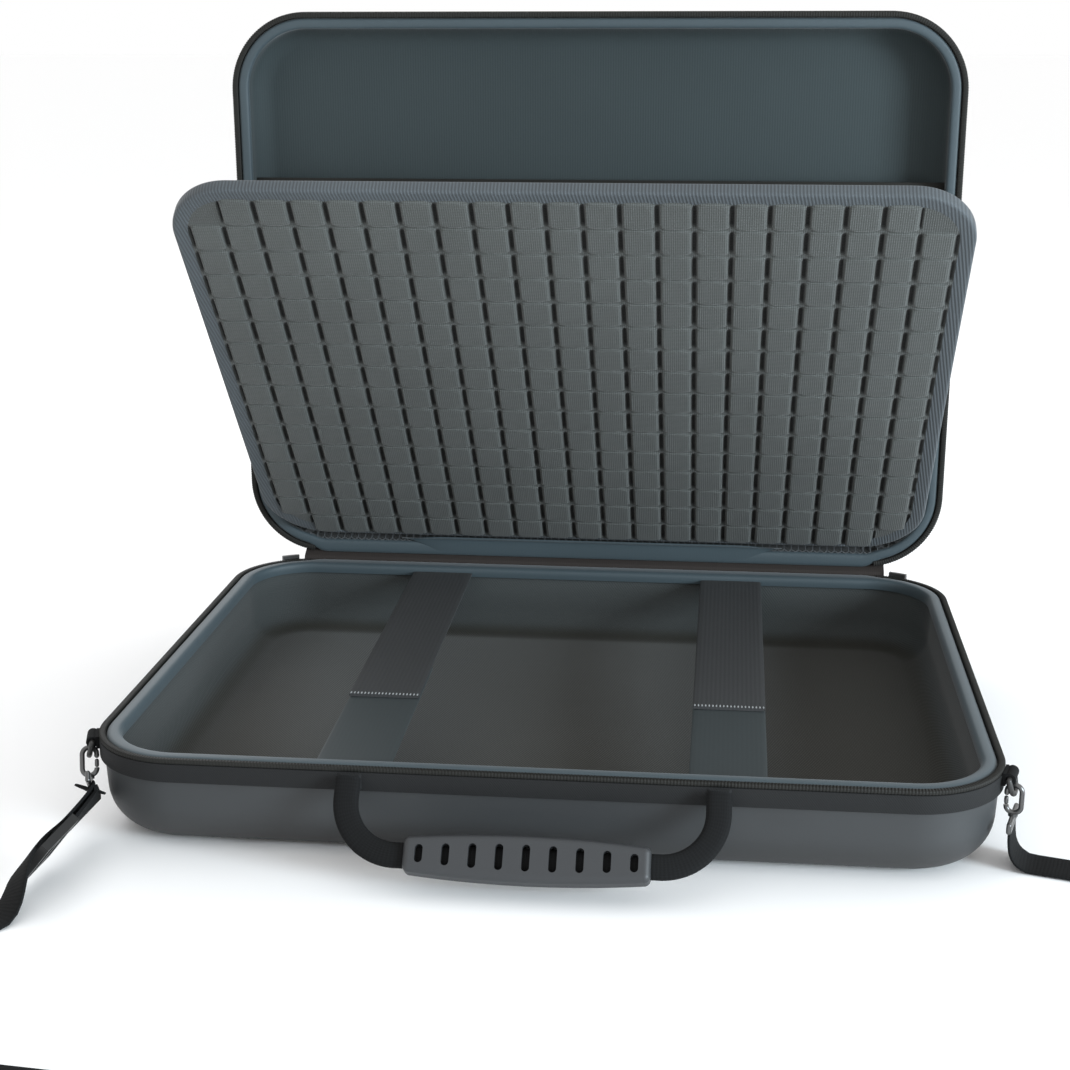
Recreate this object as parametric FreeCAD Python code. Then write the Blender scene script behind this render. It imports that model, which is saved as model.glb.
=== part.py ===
import FreeCAD, Part
import os
from math import atan2, cos, degrees, radians, sin, tan

Vector = FreeCAD.Vector
Rotation = FreeCAD.Rotation
Placement = FreeCAD.Placement

# Frame: origin at the centre of the flat underside, X to the right, Y to the hinge side, Z up, in mm.
X_AXIS = Vector(1, 0, 0)
Y_AXIS = Vector(0, 1, 0)
Z_AXIS = Vector(0, 0, 1)

# Overall size of the zipped case
CASE_WIDTH = 430.0
CASE_DEPTH = 330.0
BASE_HEIGHT = 47.5
LID_HEIGHT = 30.0
CORNER_RADIUS = 45.0

# Walls, from the outside in
TAPE_THICKNESS = 2.0
SHELL_THICKNESS = 4.5
LINING_THICKNESS = 1.5
WALL_DRAFT = 2.0
BASE_EDGE_RADIUS = 22.0
LID_EDGE_RADIUS = 18.0

# Rim, measured down from the plane where the halves part
HALF_GAP = 0.15
TEETH_WIDTH = 3.5
TEETH_HEIGHT = 2.5
LIP_WIDTH = 7.5
LIP_HEIGHT = 3.0
LIP_RECESS = 1.2
LIP_ROUNDING = 1.2
TAPE_BAND_HEIGHT = 9.0

# Hinge strip between the halves
HINGE_GAP = 3.0
LID_OPEN_ANGLE = 89.16
HINGE_BEAD_RADIUS = 1.5
RUNNING_GAP = 0.3
SPINE_CORNER_REACH = 8.0
HINGE_TAB_LENGTH = 4.0
HINGE_TAB_HEIGHT = 9.0
HINGE_TAB_PROUD = 1.3

# Divider with its grid of moulded pads
DIVIDER_LEAN_ANGLE = 39.33
DIVIDER_WIDTH = 404.0
DIVIDER_LENGTH = 303.75
DIVIDER_TOP_RADIUS = 33.0
DIVIDER_BOTTOM_RADIUS = 38.0
DIVIDER_HINGE_INSET = 10.5
DIVIDER_HINGE_BEAD = 1.0
DIVIDER_SEAT_GAP = 0.05
DIVIDER_CORE_THICKNESS = 5.0
DIVIDER_BACK_THICKNESS = 1.0
BINDING_WIDTH = 8.0
BINDING_SINK = 0.5
BINDING_ROUNDING = 0.6
PAD_HEIGHT = 2.5
PAD_PITCH = 18.37
PAD_GROOVE = 3.2
PAD_SLOPE = 1.0
PAD_CORNER = 2.5
PAD_COLUMNS = 21
PAD_ROWS = 16
PAD_BOTTOM_MARGIN = 2.94
FLAP_HALF_WIDTH = 119.0
FLAP_THICKNESS = 1.0

# Net pocket in the lid
POCKET_TOP = 226.0
POCKET_DEPTH = 14.5
POCKET_SHEET = 1.0
POCKET_BOTTOM_INSET = 14.0
POCKET_ZIP_WIDTH = 14.0
POCKET_TAPE_THICKNESS = 1.2
POCKET_TEETH_WIDTH = 4.0
POCKET_TEETH_HEIGHT = 1.2
POCKET_SLIDER_INSET = 28.0
POCKET_SLIDER_LENGTH = 9.0
POCKET_SLIDER_WIDTH = 7.0
POCKET_SLIDER_HEIGHT = 2.2
POCKET_PULL_LENGTH = 13.0
POCKET_PULL_WIDTH = 5.0
POCKET_PULL_THICKNESS = 1.4
POCKET_EYE_RADIUS = 1.9
POCKET_TEETH_OVERRUN = 12.0

# Elastic straps across the base
STRAP_WIDTH = 37.0
STRAP_THICKNESS = 1.6
STRAP_LEFT_X = -91.0
STRAP_RIGHT_X = 88.0
STRAP_REAR_DROP = 7.5
STRAP_FRONT_DROP = 17.5
STRAP_STITCH_Y = -45.0
STRAP_OVERLAP = 45.0
STRAP_HINGE_LENGTH = 4.0

# Carrying handle
HANDLE_PIVOT_DROP = 5.5
HANDLE_PIVOT_OUT = 3.6
HANDLE_HALF_SPAN = 84.0
HANDLE_REACH = 33.0
HANDLE_TILT = 40.0
WEBBING_WIDTH = 11.5
WEBBING_THICKNESS = 6.0
WEBBING_BEND = 25.0
GRIP_LENGTH = 110.0
GRIP_MIDDLE_HEIGHT = 21.0
GRIP_END_HEIGHT = 15.5
GRIP_THICKNESS = 12.0
GRIP_ROUNDING = 3.0
SLOT_COUNT = 9
SLOT_PITCH = 11.94
SLOT_WIDTH = 3.6
SLOT_MIDDLE_HEIGHT = 12.0
SLOT_END_HEIGHT = 8.2
ANCHOR_WIDTH = 15.0
ANCHOR_HEIGHT = 13.0
ANCHOR_THICKNESS = 1.6
ANCHOR_PIN_RADIUS = 1.5
ANCHOR_EYE_RADIUS = 2.6

# Zip sliders and their pulls, parked at the rear corners
SLIDER_PARK_ANGLE = 25.0
SLIDER_HALF_ANGLE = 6.5
SLIDER_THICKNESS = 3.0
SLIDER_BELOW = 7.0
SLIDER_ABOVE = 1.4
SLIDER_STEP = 0.5
SLIDER_UPPER_GAP = 1.0
PIVOT_PIN_RADIUS = 0.9
PIVOT_EAR_THICKNESS = 1.2
PIVOT_CLEARANCE = 0.3
PIVOT_OUT = 1.9
PULL_WIDTH = 4.4
PULL_LENGTH = 19.0
PULL_THICKNESS = 1.4

# Rings, hooks and shoulder strap at the front corners
RING_TAB_ANGLE = 16.0
RING_TAB_WIDTH = 11.4
RING_TAB_HEIGHT = 6.0
RING_TAB_TOP_DROP = 1.6
RING_TAB_THICKNESS = 1.6
RING_WIRE_RADIUS = 1.3
RING_BAR_OUT = 3.0
RING_BAR_DROP = 4.2
RING_LOOP_WALL = 1.2
RING_LEG = 1.0
RING_BEND = 7.5
RING_TILT = 14.0
HOOK_WIRE_RADIUS = 1.2
HOOK_BEND = 3.4
HOOK_DROP = 6.5
HOOK_TIP_RISE = -0.5
HOOK_RISE = 0.3
HOOK_STEM_LENGTH = 1.5
HOOK_STEM_RADIUS = 2.2
HOOK_EYE_WIDTH = 24.0
HOOK_TILT_LEFT = -35.0
HOOK_TILT_RIGHT = 0.0
HOOK_EYE_DROP = 3.2
GATE_GAP = 0.35
GATE_RADIUS = 1.0
SHOULDER_WIDTH = 20.0
SHOULDER_THICKNESS = 1.6
SHOULDER_LEAD = 3.0
ADJUSTER_WIDTH = 27.0
ADJUSTER_LENGTH = 30.0
ADJUSTER_THICKNESS = 4.0
ADJUSTER_BAR = 4.0
STRAP_LAYER_GAP = 3.4
ADJUSTER_OUT = 4.5
ADJUSTER_AHEAD = 33.0
ADJUSTER_DROP = 30.5
LEFT_ADJUSTER_ACROSS = (-0.6, 0.2, -0.75)
RIGHT_RUN_AHEAD = [(15.0, -28.5), (70.0, -12.7), (85.0, 165.0), (-15.0, 203.0)]
MIDDLE_RUN_AHEAD = 207.0
LEFT_RUN_AHEAD = [(21.0, 187.0), (60.0, 135.0), (47.0, 103.0), (11.0, 71.0)]
RUN_BENDS = [45.0, 60.0, 100.0, 600.0, 45.0, 20.0, 24.0]
FALL_SHARES = [1 / 4, 1 / 2, 3 / 4]

OVERRUN = 5.0

# Heights and places worked out from the sizes above
STACK = LIP_RECESS + LIP_HEIGHT
TEETH_INSET = TEETH_WIDTH
LIP_INNER_INSET = TEETH_WIDTH + LIP_WIDTH
SHELL_INNER_INSET = TAPE_THICKNESS + SHELL_THICKNESS
LINING_INNER_INSET = SHELL_INNER_INSET + LINING_THICKNESS
TAPE_BOTTOM_DROP = HALF_GAP + TEETH_HEIGHT + TAPE_BAND_HEIGHT
HINGE_Y = CASE_DEPTH / 2 + HINGE_GAP
FRONT_Y = -CASE_DEPTH / 2
REAR_WALL_Y = CASE_DEPTH / 2 - LINING_INNER_INSET
FRONT_WALL_Y = -REAR_WALL_Y
CORNER_X = CASE_WIDTH / 2 - CORNER_RADIUS
CORNER_Y = CASE_DEPTH / 2 - CORNER_RADIUS
SPINE_HALF_LENGTH = CORNER_X + SPINE_CORNER_REACH
HINGE_TAB_END = SPINE_HALF_LENGTH + HINGE_TAB_LENGTH
STRAP_REAR_HEIGHT = BASE_HEIGHT - STRAP_REAR_DROP
STRAP_FRONT_HEIGHT = BASE_HEIGHT - STRAP_FRONT_DROP
HANDLE_PIVOT_HEIGHT = BASE_HEIGHT - HANDLE_PIVOT_DROP
POCKET_SLIDER_X = POCKET_SLIDER_INSET - CASE_WIDTH / 2

LEFT_ADJUSTER = (-CASE_WIDTH / 2 - ADJUSTER_OUT, FRONT_Y - ADJUSTER_AHEAD, BASE_HEIGHT - ADJUSTER_DROP)
RUN_POINTS = [(CASE_WIDTH / 2 + out, FRONT_Y - ahead) for out, ahead in RIGHT_RUN_AHEAD]
RUN_POINTS += [(0, FRONT_Y - MIDDLE_RUN_AHEAD)]
RUN_POINTS += [(-CASE_WIDTH / 2 - out, FRONT_Y - ahead) for out, ahead in LEFT_RUN_AHEAD]

LID_OPEN = Placement(Vector(0, HINGE_Y, BASE_HEIGHT), Rotation(X_AXIS, -LID_OPEN_ANGLE))
LID_FROM_TRAY = Placement(Vector(0, -HINGE_Y, LID_HEIGHT), Rotation(X_AXIS, 180))


def polygon_prism(points, x_from, x_to):
    """A solid with the (y, z) outline, running along X."""
    corners = [Vector(x_from, y, z) for y, z in points]
    face = Part.Face(Part.makePolygon(corners + corners[:1]))
    return face.extrude(Vector(x_to - x_from, 0, 0))


def box(x, y, z):
    """A block given as three (low, high) pairs."""
    size = [high - low for low, high in (x, y, z)]
    return Part.makeBox(*size, Vector(x[0], y[0], z[0]))


def rod(start, end, radius):
    """A round bar from one point to another."""
    along = end - start
    return Part.makeCylinder(radius, along.Length, start, along)


def rounded_outline(half_x, half_y, radii, z):
    """A rectangle with rounded corners; radii are front right, rear right, rear left, front left."""
    signs = [(1, -1), (1, 1), (-1, 1), (-1, -1)]
    first_angles = [-90, 0, 90, 180]
    edges = []
    ends = []
    for (sign_x, sign_y), first, radius in zip(signs, first_angles, radii):
        centre = Vector(sign_x * (half_x - radius), sign_y * (half_y - radius), z)
        points = []
        for turn in (first, first + 45, first + 90):
            points.append(centre + Vector(radius * cos(radians(turn)), radius * sin(radians(turn)), 0))
        edges.append(Part.Arc(*points).toShape())
        ends.append((points[0], points[2]))
    lines = []
    for index in range(4):
        lines.append(Part.LineSegment(ends[index][1], ends[(index + 1) % 4][0]).toShape())
    ordered = [edge for pair in zip(edges, lines) for edge in pair]
    return Part.Wire(ordered)


def rim_outline(inset, z):
    """The case's plan outline, moved in from the rim's outside by inset."""
    radius = CORNER_RADIUS - inset
    return rounded_outline(CASE_WIDTH / 2 - inset, CASE_DEPTH / 2 - inset, [radius] * 4, z)


def rim_prism(inset, z_low, z_high):
    """A solid block with the rim's outline, moved in by inset."""
    return Part.Face(rim_outline(inset, z_low)).extrude(Vector(0, 0, z_high - z_low))


def rim_ring(outer_inset, inner_inset, z_low, z_high):
    """A band that follows the rim between two insets."""
    return rim_prism(outer_inset, z_low, z_high).cut(rim_prism(inner_inset, z_low, z_high))


def edges_at(shape, z):
    """The edges that lie wholly at one height."""
    found = []
    for edge in shape.Edges:
        bounds = edge.BoundBox
        if abs(bounds.ZMin - z) < HALF_GAP / 2 and abs(bounds.ZMax - z) < HALF_GAP / 2:
            found.append(edge)
    return found


def tray(inset, z_low, z_high, edge_radius):
    """A drafted tray body with a rounded lower edge."""
    body = Part.makeLoft([rim_outline(inset + WALL_DRAFT, z_low), rim_outline(inset, z_high)], True, True)
    return body.makeFillet(edge_radius, edges_at(body, z_low))


def rim_parts(height, outer):
    """The tape band, zip teeth and lip of one half, whose rim is at this height."""
    rear_y = CASE_DEPTH / 2
    rear_zone = box((-HINGE_TAB_END, HINGE_TAB_END), (rear_y - LIP_INNER_INSET, rear_y + OVERRUN),
                    (-OVERRUN, height + OVERRUN))
    teeth_bottom = height - HALF_GAP - TEETH_HEIGHT
    band = rim_prism(0, height - TAPE_BOTTOM_DROP, teeth_bottom).cut(outer)
    band = band.cut(rim_prism(TEETH_INSET, height - STACK, teeth_bottom))
    tape = band.cut(rear_zone)
    teeth = rim_ring(0, TEETH_INSET, teeth_bottom, height - HALF_GAP).cut(rear_zone)
    lip = rim_ring(TEETH_INSET, LIP_INNER_INSET, height - STACK, height - LIP_RECESS)
    lip = lip.makeFillet(LIP_ROUNDING, edges_at(lip, height - LIP_RECESS))
    return tape, teeth, lip


def half_case(height, edge_radius):
    """Shell, lining and rim parts of one half, with its outer face at z = 0."""
    rim = height - STACK
    outer = tray(TAPE_THICKNESS, 0, rim, edge_radius)
    shell_cavity = tray(SHELL_INNER_INSET, SHELL_THICKNESS, rim, edge_radius - SHELL_THICKNESS)
    lining_floor = SHELL_THICKNESS + LINING_THICKNESS
    inner_radius = edge_radius - SHELL_THICKNESS - LINING_THICKNESS
    cavity = tray(LINING_INNER_INSET, lining_floor, rim, inner_radius)
    shell = outer.cut(shell_cavity)
    lining = shell_cavity.cut(cavity)
    tape, teeth, lip = rim_parts(height, outer)
    return shell, lining, tape, teeth, lip, cavity


def spine_flange(top):
    """The strip's (y, z) outline on one half: flat on the wall and folded over the rim."""
    rear = CASE_DEPTH / 2
    low = top - TAPE_BOTTOM_DROP
    fold_low = top - STACK
    fold_high = top - LIP_RECESS
    return [(rear - TAPE_THICKNESS - WALL_DRAFT, low), (rear, low), (rear, fold_high),
            (rear - TEETH_INSET, fold_high), (rear - TEETH_INSET, fold_low),
            (rear - TAPE_THICKNESS - WALL_DRAFT, fold_low)]


def spine_base(outer):
    """The base's half of the hinge strip, ending in a bead on the hinge line."""
    flange = polygon_prism(spine_flange(BASE_HEIGHT), -SPINE_HALF_LENGTH, SPINE_HALF_LENGTH).cut(outer)
    rear = CASE_DEPTH / 2
    fold_high = BASE_HEIGHT - LIP_RECESS
    web = polygon_prism([(rear - TAPE_THICKNESS / 2, fold_high - LIP_HEIGHT / 2), (rear, fold_high),
                         (HINGE_Y, BASE_HEIGHT), (HINGE_Y, BASE_HEIGHT - HINGE_BEAD_RADIUS)],
                        -SPINE_HALF_LENGTH, SPINE_HALF_LENGTH)
    bead = rod(Vector(-SPINE_HALF_LENGTH, HINGE_Y, BASE_HEIGHT),
               Vector(SPINE_HALF_LENGTH, HINGE_Y, BASE_HEIGHT), HINGE_BEAD_RADIUS)
    return flange.fuse([web, bead]).removeSplitter()


def spine_lid(tray_outer):
    """The lid's half of the strip, in the tray's own frame turned to the hinge frame."""
    flange = polygon_prism(spine_flange(LID_HEIGHT), -SPINE_HALF_LENGTH, SPINE_HALF_LENGTH)
    mirrored = flange.mirror(Vector(0, 0, 0), Y_AXIS).cut(tray_outer)
    mirrored.Placement = LID_FROM_TRAY.multiply(mirrored.Placement)
    start = Vector(-SPINE_HALF_LENGTH, 0, 0)
    end = Vector(SPINE_HALF_LENGTH, 0, 0)
    inner = HINGE_BEAD_RADIUS + RUNNING_GAP
    sleeve = rod(start, end, HINGE_GAP).cut(rod(start, end, inner))
    quarter = box((-SPINE_HALF_LENGTH, SPINE_HALF_LENGTH), (-HINGE_GAP, 0),
                  (LIP_RECESS / 2, HINGE_GAP))
    link = box((-SPINE_HALF_LENGTH, SPINE_HALF_LENGTH),
               (-HINGE_GAP - LIP_RECESS / 2, -HINGE_GAP + LIP_RECESS / 2),
               (LIP_RECESS, LIP_RECESS + TAPE_THICKNESS / 2))
    return mirrored.fuse([sleeve.common(quarter), link]).removeSplitter()


def hinge_tab(side, outer):
    """The stitched end piece that closes the zip beside the hinge strip."""
    rear = CASE_DEPTH / 2
    low = BASE_HEIGHT - HALF_GAP - HINGE_TAB_HEIGHT
    high = BASE_HEIGHT - LIP_RECESS
    x_range = sorted((side * SPINE_HALF_LENGTH, side * HINGE_TAB_END))
    block = box(x_range, (rear - TEETH_INSET, rear + HINGE_TAB_PROUD), (low, high))
    block = block.cut(outer)
    long_edges = []
    for edge in block.Edges:
        bounds = edge.BoundBox
        if bounds.YMin > rear + HINGE_TAB_PROUD / 2 and bounds.XLength > HINGE_TAB_PROUD:
            long_edges.append(edge)
    return block.makeFillet(HINGE_TAB_PROUD / 2, long_edges)


def divider_frame():
    """Placement of the divider's own frame: X along the hinge, Y up the panel, Z out of its pads."""
    local = Vector(0, -(HINGE_GAP + DIVIDER_HINGE_INSET), 0)
    origin = LID_OPEN.multVec(local)
    panel_angle = 180 - LID_OPEN_ANGLE + DIVIDER_LEAN_ANGLE
    return Placement(origin, Rotation(X_AXIS, panel_angle))


def divider_outline(inset, z):
    """The panel's outline, its lower edge just clear of the hinge bead."""
    half_y = DIVIDER_LENGTH / 2
    radii = [DIVIDER_BOTTOM_RADIUS, DIVIDER_TOP_RADIUS, DIVIDER_TOP_RADIUS, DIVIDER_BOTTOM_RADIUS]
    wire = rounded_outline(DIVIDER_WIDTH / 2 - inset, half_y - inset, [r - inset for r in radii], z)
    lift = DIVIDER_HINGE_BEAD + DIVIDER_SEAT_GAP + half_y
    wire.translate(Vector(0, lift, 0))
    return wire


def divider_slab(inset, z_low, z_high):
    """A layer of the panel between two heights of its own frame."""
    return Part.Face(divider_outline(inset, z_low)).extrude(Vector(0, 0, z_high - z_low))


def divider_parts():
    """Core, pads, bound edge and back cover, in the divider's own frame."""
    pad_base = -PAD_HEIGHT
    core_low = pad_base - DIVIDER_CORE_THICKNESS
    back_low = core_low - DIVIDER_BACK_THICKNESS
    pads_half = PAD_COLUMNS * PAD_PITCH / 2
    pads_low = DIVIDER_HINGE_BEAD + DIVIDER_SEAT_GAP + PAD_BOTTOM_MARGIN
    pads_zone = box((-pads_half + PAD_PITCH, pads_half - PAD_PITCH), (pads_low, DIVIDER_LENGTH / 2),
                    (back_low - OVERRUN, OVERRUN))
    binding = divider_slab(0, back_low, -BINDING_SINK).cut(divider_slab(BINDING_WIDTH, back_low, -BINDING_SINK))
    binding = binding.cut(pads_zone)
    rounded = []
    for edge in edges_at(binding, -BINDING_SINK) + edges_at(binding, back_low):
        middle = edge.valueAt((edge.FirstParameter + edge.LastParameter) / 2)
        outline = divider_outline(0, middle.z)
        if outline.distToShape(Part.Vertex(middle))[0] < BINDING_SINK / 2:
            rounded.append(edge)
    binding = binding.makeFillet(BINDING_ROUNDING, rounded)
    core_pieces = divider_slab(0, core_low, pad_base).cut(binding).Solids
    back_pieces = divider_slab(0, back_low, core_low).cut(binding).Solids
    return max(core_pieces, key=volume_of), max(back_pieces, key=volume_of), binding


def volume_of(solid):
    """The measure by which the largest of several solids is chosen."""
    return solid.Volume


def pad_solid():
    """One pad: a low block with sloped sides and cut corners."""
    low = (PAD_PITCH - PAD_GROOVE) / 2
    high = low - PAD_SLOPE
    wires = []
    for half, z in ((low, -PAD_HEIGHT), (high, 0)):
        cut = half - PAD_CORNER
        corners = [(half, -cut), (half, cut), (cut, half), (-cut, half),
                   (-half, cut), (-half, -cut), (-cut, -half), (cut, -half)]
        points = [Vector(x, y, z) for x, y in corners]
        wires.append(Part.makePolygon(points + points[:1]))
    return Part.makeLoft(wires, True, True)


def divider_pads():
    """The grid of pads; the four corner cells stay flat."""
    first_y = DIVIDER_HINGE_BEAD + DIVIDER_SEAT_GAP + PAD_BOTTOM_MARGIN
    one = pad_solid()
    pads = []
    for column in range(PAD_COLUMNS):
        for row in range(PAD_ROWS):
            if column in (0, PAD_COLUMNS - 1) and row in (0, PAD_ROWS - 1):
                continue
            x = (column - (PAD_COLUMNS - 1) / 2) * PAD_PITCH
            y = first_y + (row + 1 / 2) * PAD_PITCH
            pads.append(one.translated(Vector(x, y, 0)))
    return Part.makeCompound(pads)


def divider_flap():
    """The fabric strip over the lid's lip, with the rolled edge that the divider turns on."""
    start = HINGE_GAP + TEETH_INSET
    axis = HINGE_GAP + DIVIDER_HINGE_INSET
    low = LIP_RECESS - FLAP_THICKNESS
    strip = box((-FLAP_HALF_WIDTH, FLAP_HALF_WIDTH), (-axis, -start), (low, LIP_RECESS))
    bead = rod(Vector(-FLAP_HALF_WIDTH, -axis, 0), Vector(FLAP_HALF_WIDTH, -axis, 0), DIVIDER_HINGE_BEAD)
    lip_inner = HINGE_GAP + LIP_INNER_INSET
    keep = box((-FLAP_HALF_WIDTH, FLAP_HALF_WIDTH), (-lip_inner - OVERRUN, -start), (-OVERRUN, LIP_RECESS))
    return strip.fuse(bead).common(keep).removeSplitter()


def mesh_pocket(cavity):
    """The net, its zip and the zip's slider and pull, in the hinge frame of the lid."""
    inner = cavity.copy()
    inner.Placement = LID_FROM_TRAY.multiply(inner.Placement)
    top = HINGE_GAP + POCKET_TOP
    bottom = HINGE_GAP + POCKET_BOTTOM_INSET - LINING_INNER_INSET
    half = CASE_WIDTH / 2
    zip_low = top - POCKET_ZIP_WIDTH / 2
    zip_high = top + POCKET_ZIP_WIDTH / 2
    sheet = box((-half, half), (-zip_low, -bottom), (POCKET_DEPTH, POCKET_DEPTH + POCKET_SHEET))
    sheet = sheet.common(inner)
    tape = box((-half, half), (-zip_high, -zip_low), (POCKET_DEPTH, POCKET_DEPTH + POCKET_TAPE_THICKNESS))
    tape = tape.common(inner)
    reach = -POCKET_SLIDER_X + POCKET_TEETH_OVERRUN
    teeth = box((-reach, reach), (-top - POCKET_TEETH_WIDTH / 2, -top + POCKET_TEETH_WIDTH / 2),
                (POCKET_DEPTH - POCKET_TEETH_HEIGHT, POCKET_DEPTH))
    return sheet, tape, teeth


def pocket_slider():
    """Slider body with its bridge, and the pull tab that points to the left wall."""
    top = HINGE_GAP + POCKET_TOP
    face = POCKET_DEPTH - POCKET_TEETH_HEIGHT - RUNNING_GAP
    low = face - POCKET_SLIDER_HEIGHT
    half_x = POCKET_SLIDER_LENGTH / 2
    half_y = POCKET_SLIDER_WIDTH / 2
    body = box((POCKET_SLIDER_X - half_x, POCKET_SLIDER_X + half_x), (-top - half_y, -top + half_y),
               (low, face))
    upright = [edge for edge in body.Edges if edge.BoundBox.ZLength > POCKET_SLIDER_HEIGHT / 2]
    body = body.makeFillet(half_y / 2, upright)
    pivot = Vector(POCKET_SLIDER_X - half_x - PIVOT_PIN_RADIUS, -top, face - POCKET_EYE_RADIUS)
    pin_half = POCKET_PULL_WIDTH / 2 + RUNNING_GAP + PIVOT_EAR_THICKNESS
    pin = rod(pivot - Y_AXIS * pin_half, pivot + Y_AXIS * pin_half, PIVOT_PIN_RADIUS)
    pieces = [pin]
    for side in (-1, 1):
        inner = side * (POCKET_PULL_WIDTH / 2 + RUNNING_GAP)
        outer = side * pin_half
        y_range = sorted((-top + inner, -top + outer))
        pieces.append(box((pivot.x - PIVOT_PIN_RADIUS, POCKET_SLIDER_X), y_range,
                          (pivot.z - PIVOT_PIN_RADIUS, pivot.z + PIVOT_PIN_RADIUS)))
    body = body.fuse(pieces).removeSplitter()
    bore = PIVOT_PIN_RADIUS + PIVOT_CLEARANCE
    half_width = POCKET_PULL_WIDTH / 2
    eye = rod(pivot - Y_AXIS * half_width, pivot + Y_AXIS * half_width, POCKET_EYE_RADIUS)
    clear_x = pivot.x + POCKET_EYE_RADIUS
    room_half = half_width + RUNNING_GAP
    slot = box((pivot.x, clear_x + OVERRUN), (-top - room_half, -top + room_half),
               (low - OVERRUN, face + OVERRUN))
    room = rod(pivot - Y_AXIS * room_half, pivot + Y_AXIS * room_half, POCKET_EYE_RADIUS + RUNNING_GAP)
    body = body.cut(room.common(slot)).fuse(pin)
    blade = box((pivot.x - POCKET_PULL_LENGTH, pivot.x), (-top - half_width, -top + half_width),
                (pivot.z - POCKET_PULL_THICKNESS / 2, pivot.z + POCKET_PULL_THICKNESS / 2))
    pull = eye.fuse(blade).cut(rod(pivot - Y_AXIS * pin_half, pivot + Y_AXIS * pin_half, bore))
    return body.removeSplitter(), pull.removeSplitter(), pivot


def strap_line(y):
    """Height of the straps' lower face at a depth: a straight pull from rear wall to front wall."""
    share = (REAR_WALL_Y - y) / (REAR_WALL_Y - FRONT_WALL_Y)
    return STRAP_REAR_HEIGHT + share * (STRAP_FRONT_HEIGHT - STRAP_REAR_HEIGHT)


def strap_piece(x_centre, y_front, y_rear, lift):
    """A length of elastic strap between two depths, raised above the lower layer by lift."""
    points = [(y_front, strap_line(y_front) + lift), (y_rear, strap_line(y_rear) + lift),
              (y_rear, strap_line(y_rear) + lift + STRAP_THICKNESS),
              (y_front, strap_line(y_front) + lift + STRAP_THICKNESS)]
    return polygon_prism(points, x_centre - STRAP_WIDTH / 2, x_centre + STRAP_WIDTH / 2)


def strap_parts(x_centre, cavity):
    """Front half on the front wall, stitched root on the rear wall, and the half that lifts."""
    front = strap_piece(x_centre, FRONT_WALL_Y - OVERRUN, STRAP_STITCH_Y + STRAP_OVERLAP, 0).common(cavity)
    lift = STRAP_THICKNESS + RUNNING_GAP
    hinge_y = REAR_WALL_Y - STRAP_HINGE_LENGTH
    root = strap_piece(x_centre, hinge_y + RUNNING_GAP, REAR_WALL_Y + OVERRUN, lift).common(cavity)
    rear = strap_piece(x_centre, STRAP_STITCH_Y, hinge_y, lift)
    return front, root, rear, hinge_y


def handle_frame():
    """Placement of the handle: X along the wall, Y down the reach, Z out of the handle's face."""
    origin = Vector(0, FRONT_Y - HANDLE_PIVOT_OUT, HANDLE_PIVOT_HEIGHT)
    return Placement(origin, Rotation(X_AXIS, -90 - HANDLE_TILT))


def obround(x, y, width, height, depth):
    """A slot-shaped cutter standing along Z, taller than wide."""
    radius = width / 2
    straight = height / 2 - radius
    solid = box((x - radius, x + radius), (y - straight, y + straight), (-depth, depth))
    for end in (-straight, straight):
        solid = solid.fuse(Part.makeCylinder(radius, 2 * depth, Vector(x, y + end, -depth)))
    return solid


def webbing_section(centre, across):
    """Flat oval face of the webbing, its long axis lying in the handle's plane."""
    long_end = centre + across * (WEBBING_WIDTH / 2)
    ellipse = Part.Ellipse(long_end, centre + Z_AXIS * (WEBBING_THICKNESS / 2), centre)
    return Part.Face(Part.Wire(ellipse.toShape()))


def handle_webbing(side):
    """One end of the handle: eye on the anchor pin, a straight fall, a bend, and into the grip."""
    half_width = WEBBING_WIDTH / 2
    bend_x = HANDLE_HALF_SPAN - WEBBING_BEND
    bend_y = HANDLE_REACH - WEBBING_BEND
    section = webbing_section(Vector(HANDLE_HALF_SPAN, bend_y, 0), X_AXIS)
    fall = section.extrude(Vector(0, -bend_y, 0))
    bend = section.revolve(Vector(bend_x, bend_y, 0), Z_AXIS, 90)
    end_section = webbing_section(Vector(bend_x, HANDLE_REACH, 0), Y_AXIS)
    inside = end_section.extrude(Vector(-bend_x, 0, 0))
    eye = rod(Vector(HANDLE_HALF_SPAN - half_width, 0, 0), Vector(HANDLE_HALF_SPAN + half_width, 0, 0),
              ANCHOR_EYE_RADIUS)
    bore = rod(Vector(HANDLE_HALF_SPAN - ANCHOR_WIDTH, 0, 0), Vector(HANDLE_HALF_SPAN + ANCHOR_WIDTH, 0, 0),
               ANCHOR_PIN_RADIUS + RUNNING_GAP)
    solid = fall.fuse([bend, inside, eye]).cut(bore)
    if side < 0:
        solid = solid.mirror(Vector(0, 0, 0), X_AXIS)
    return solid


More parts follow.
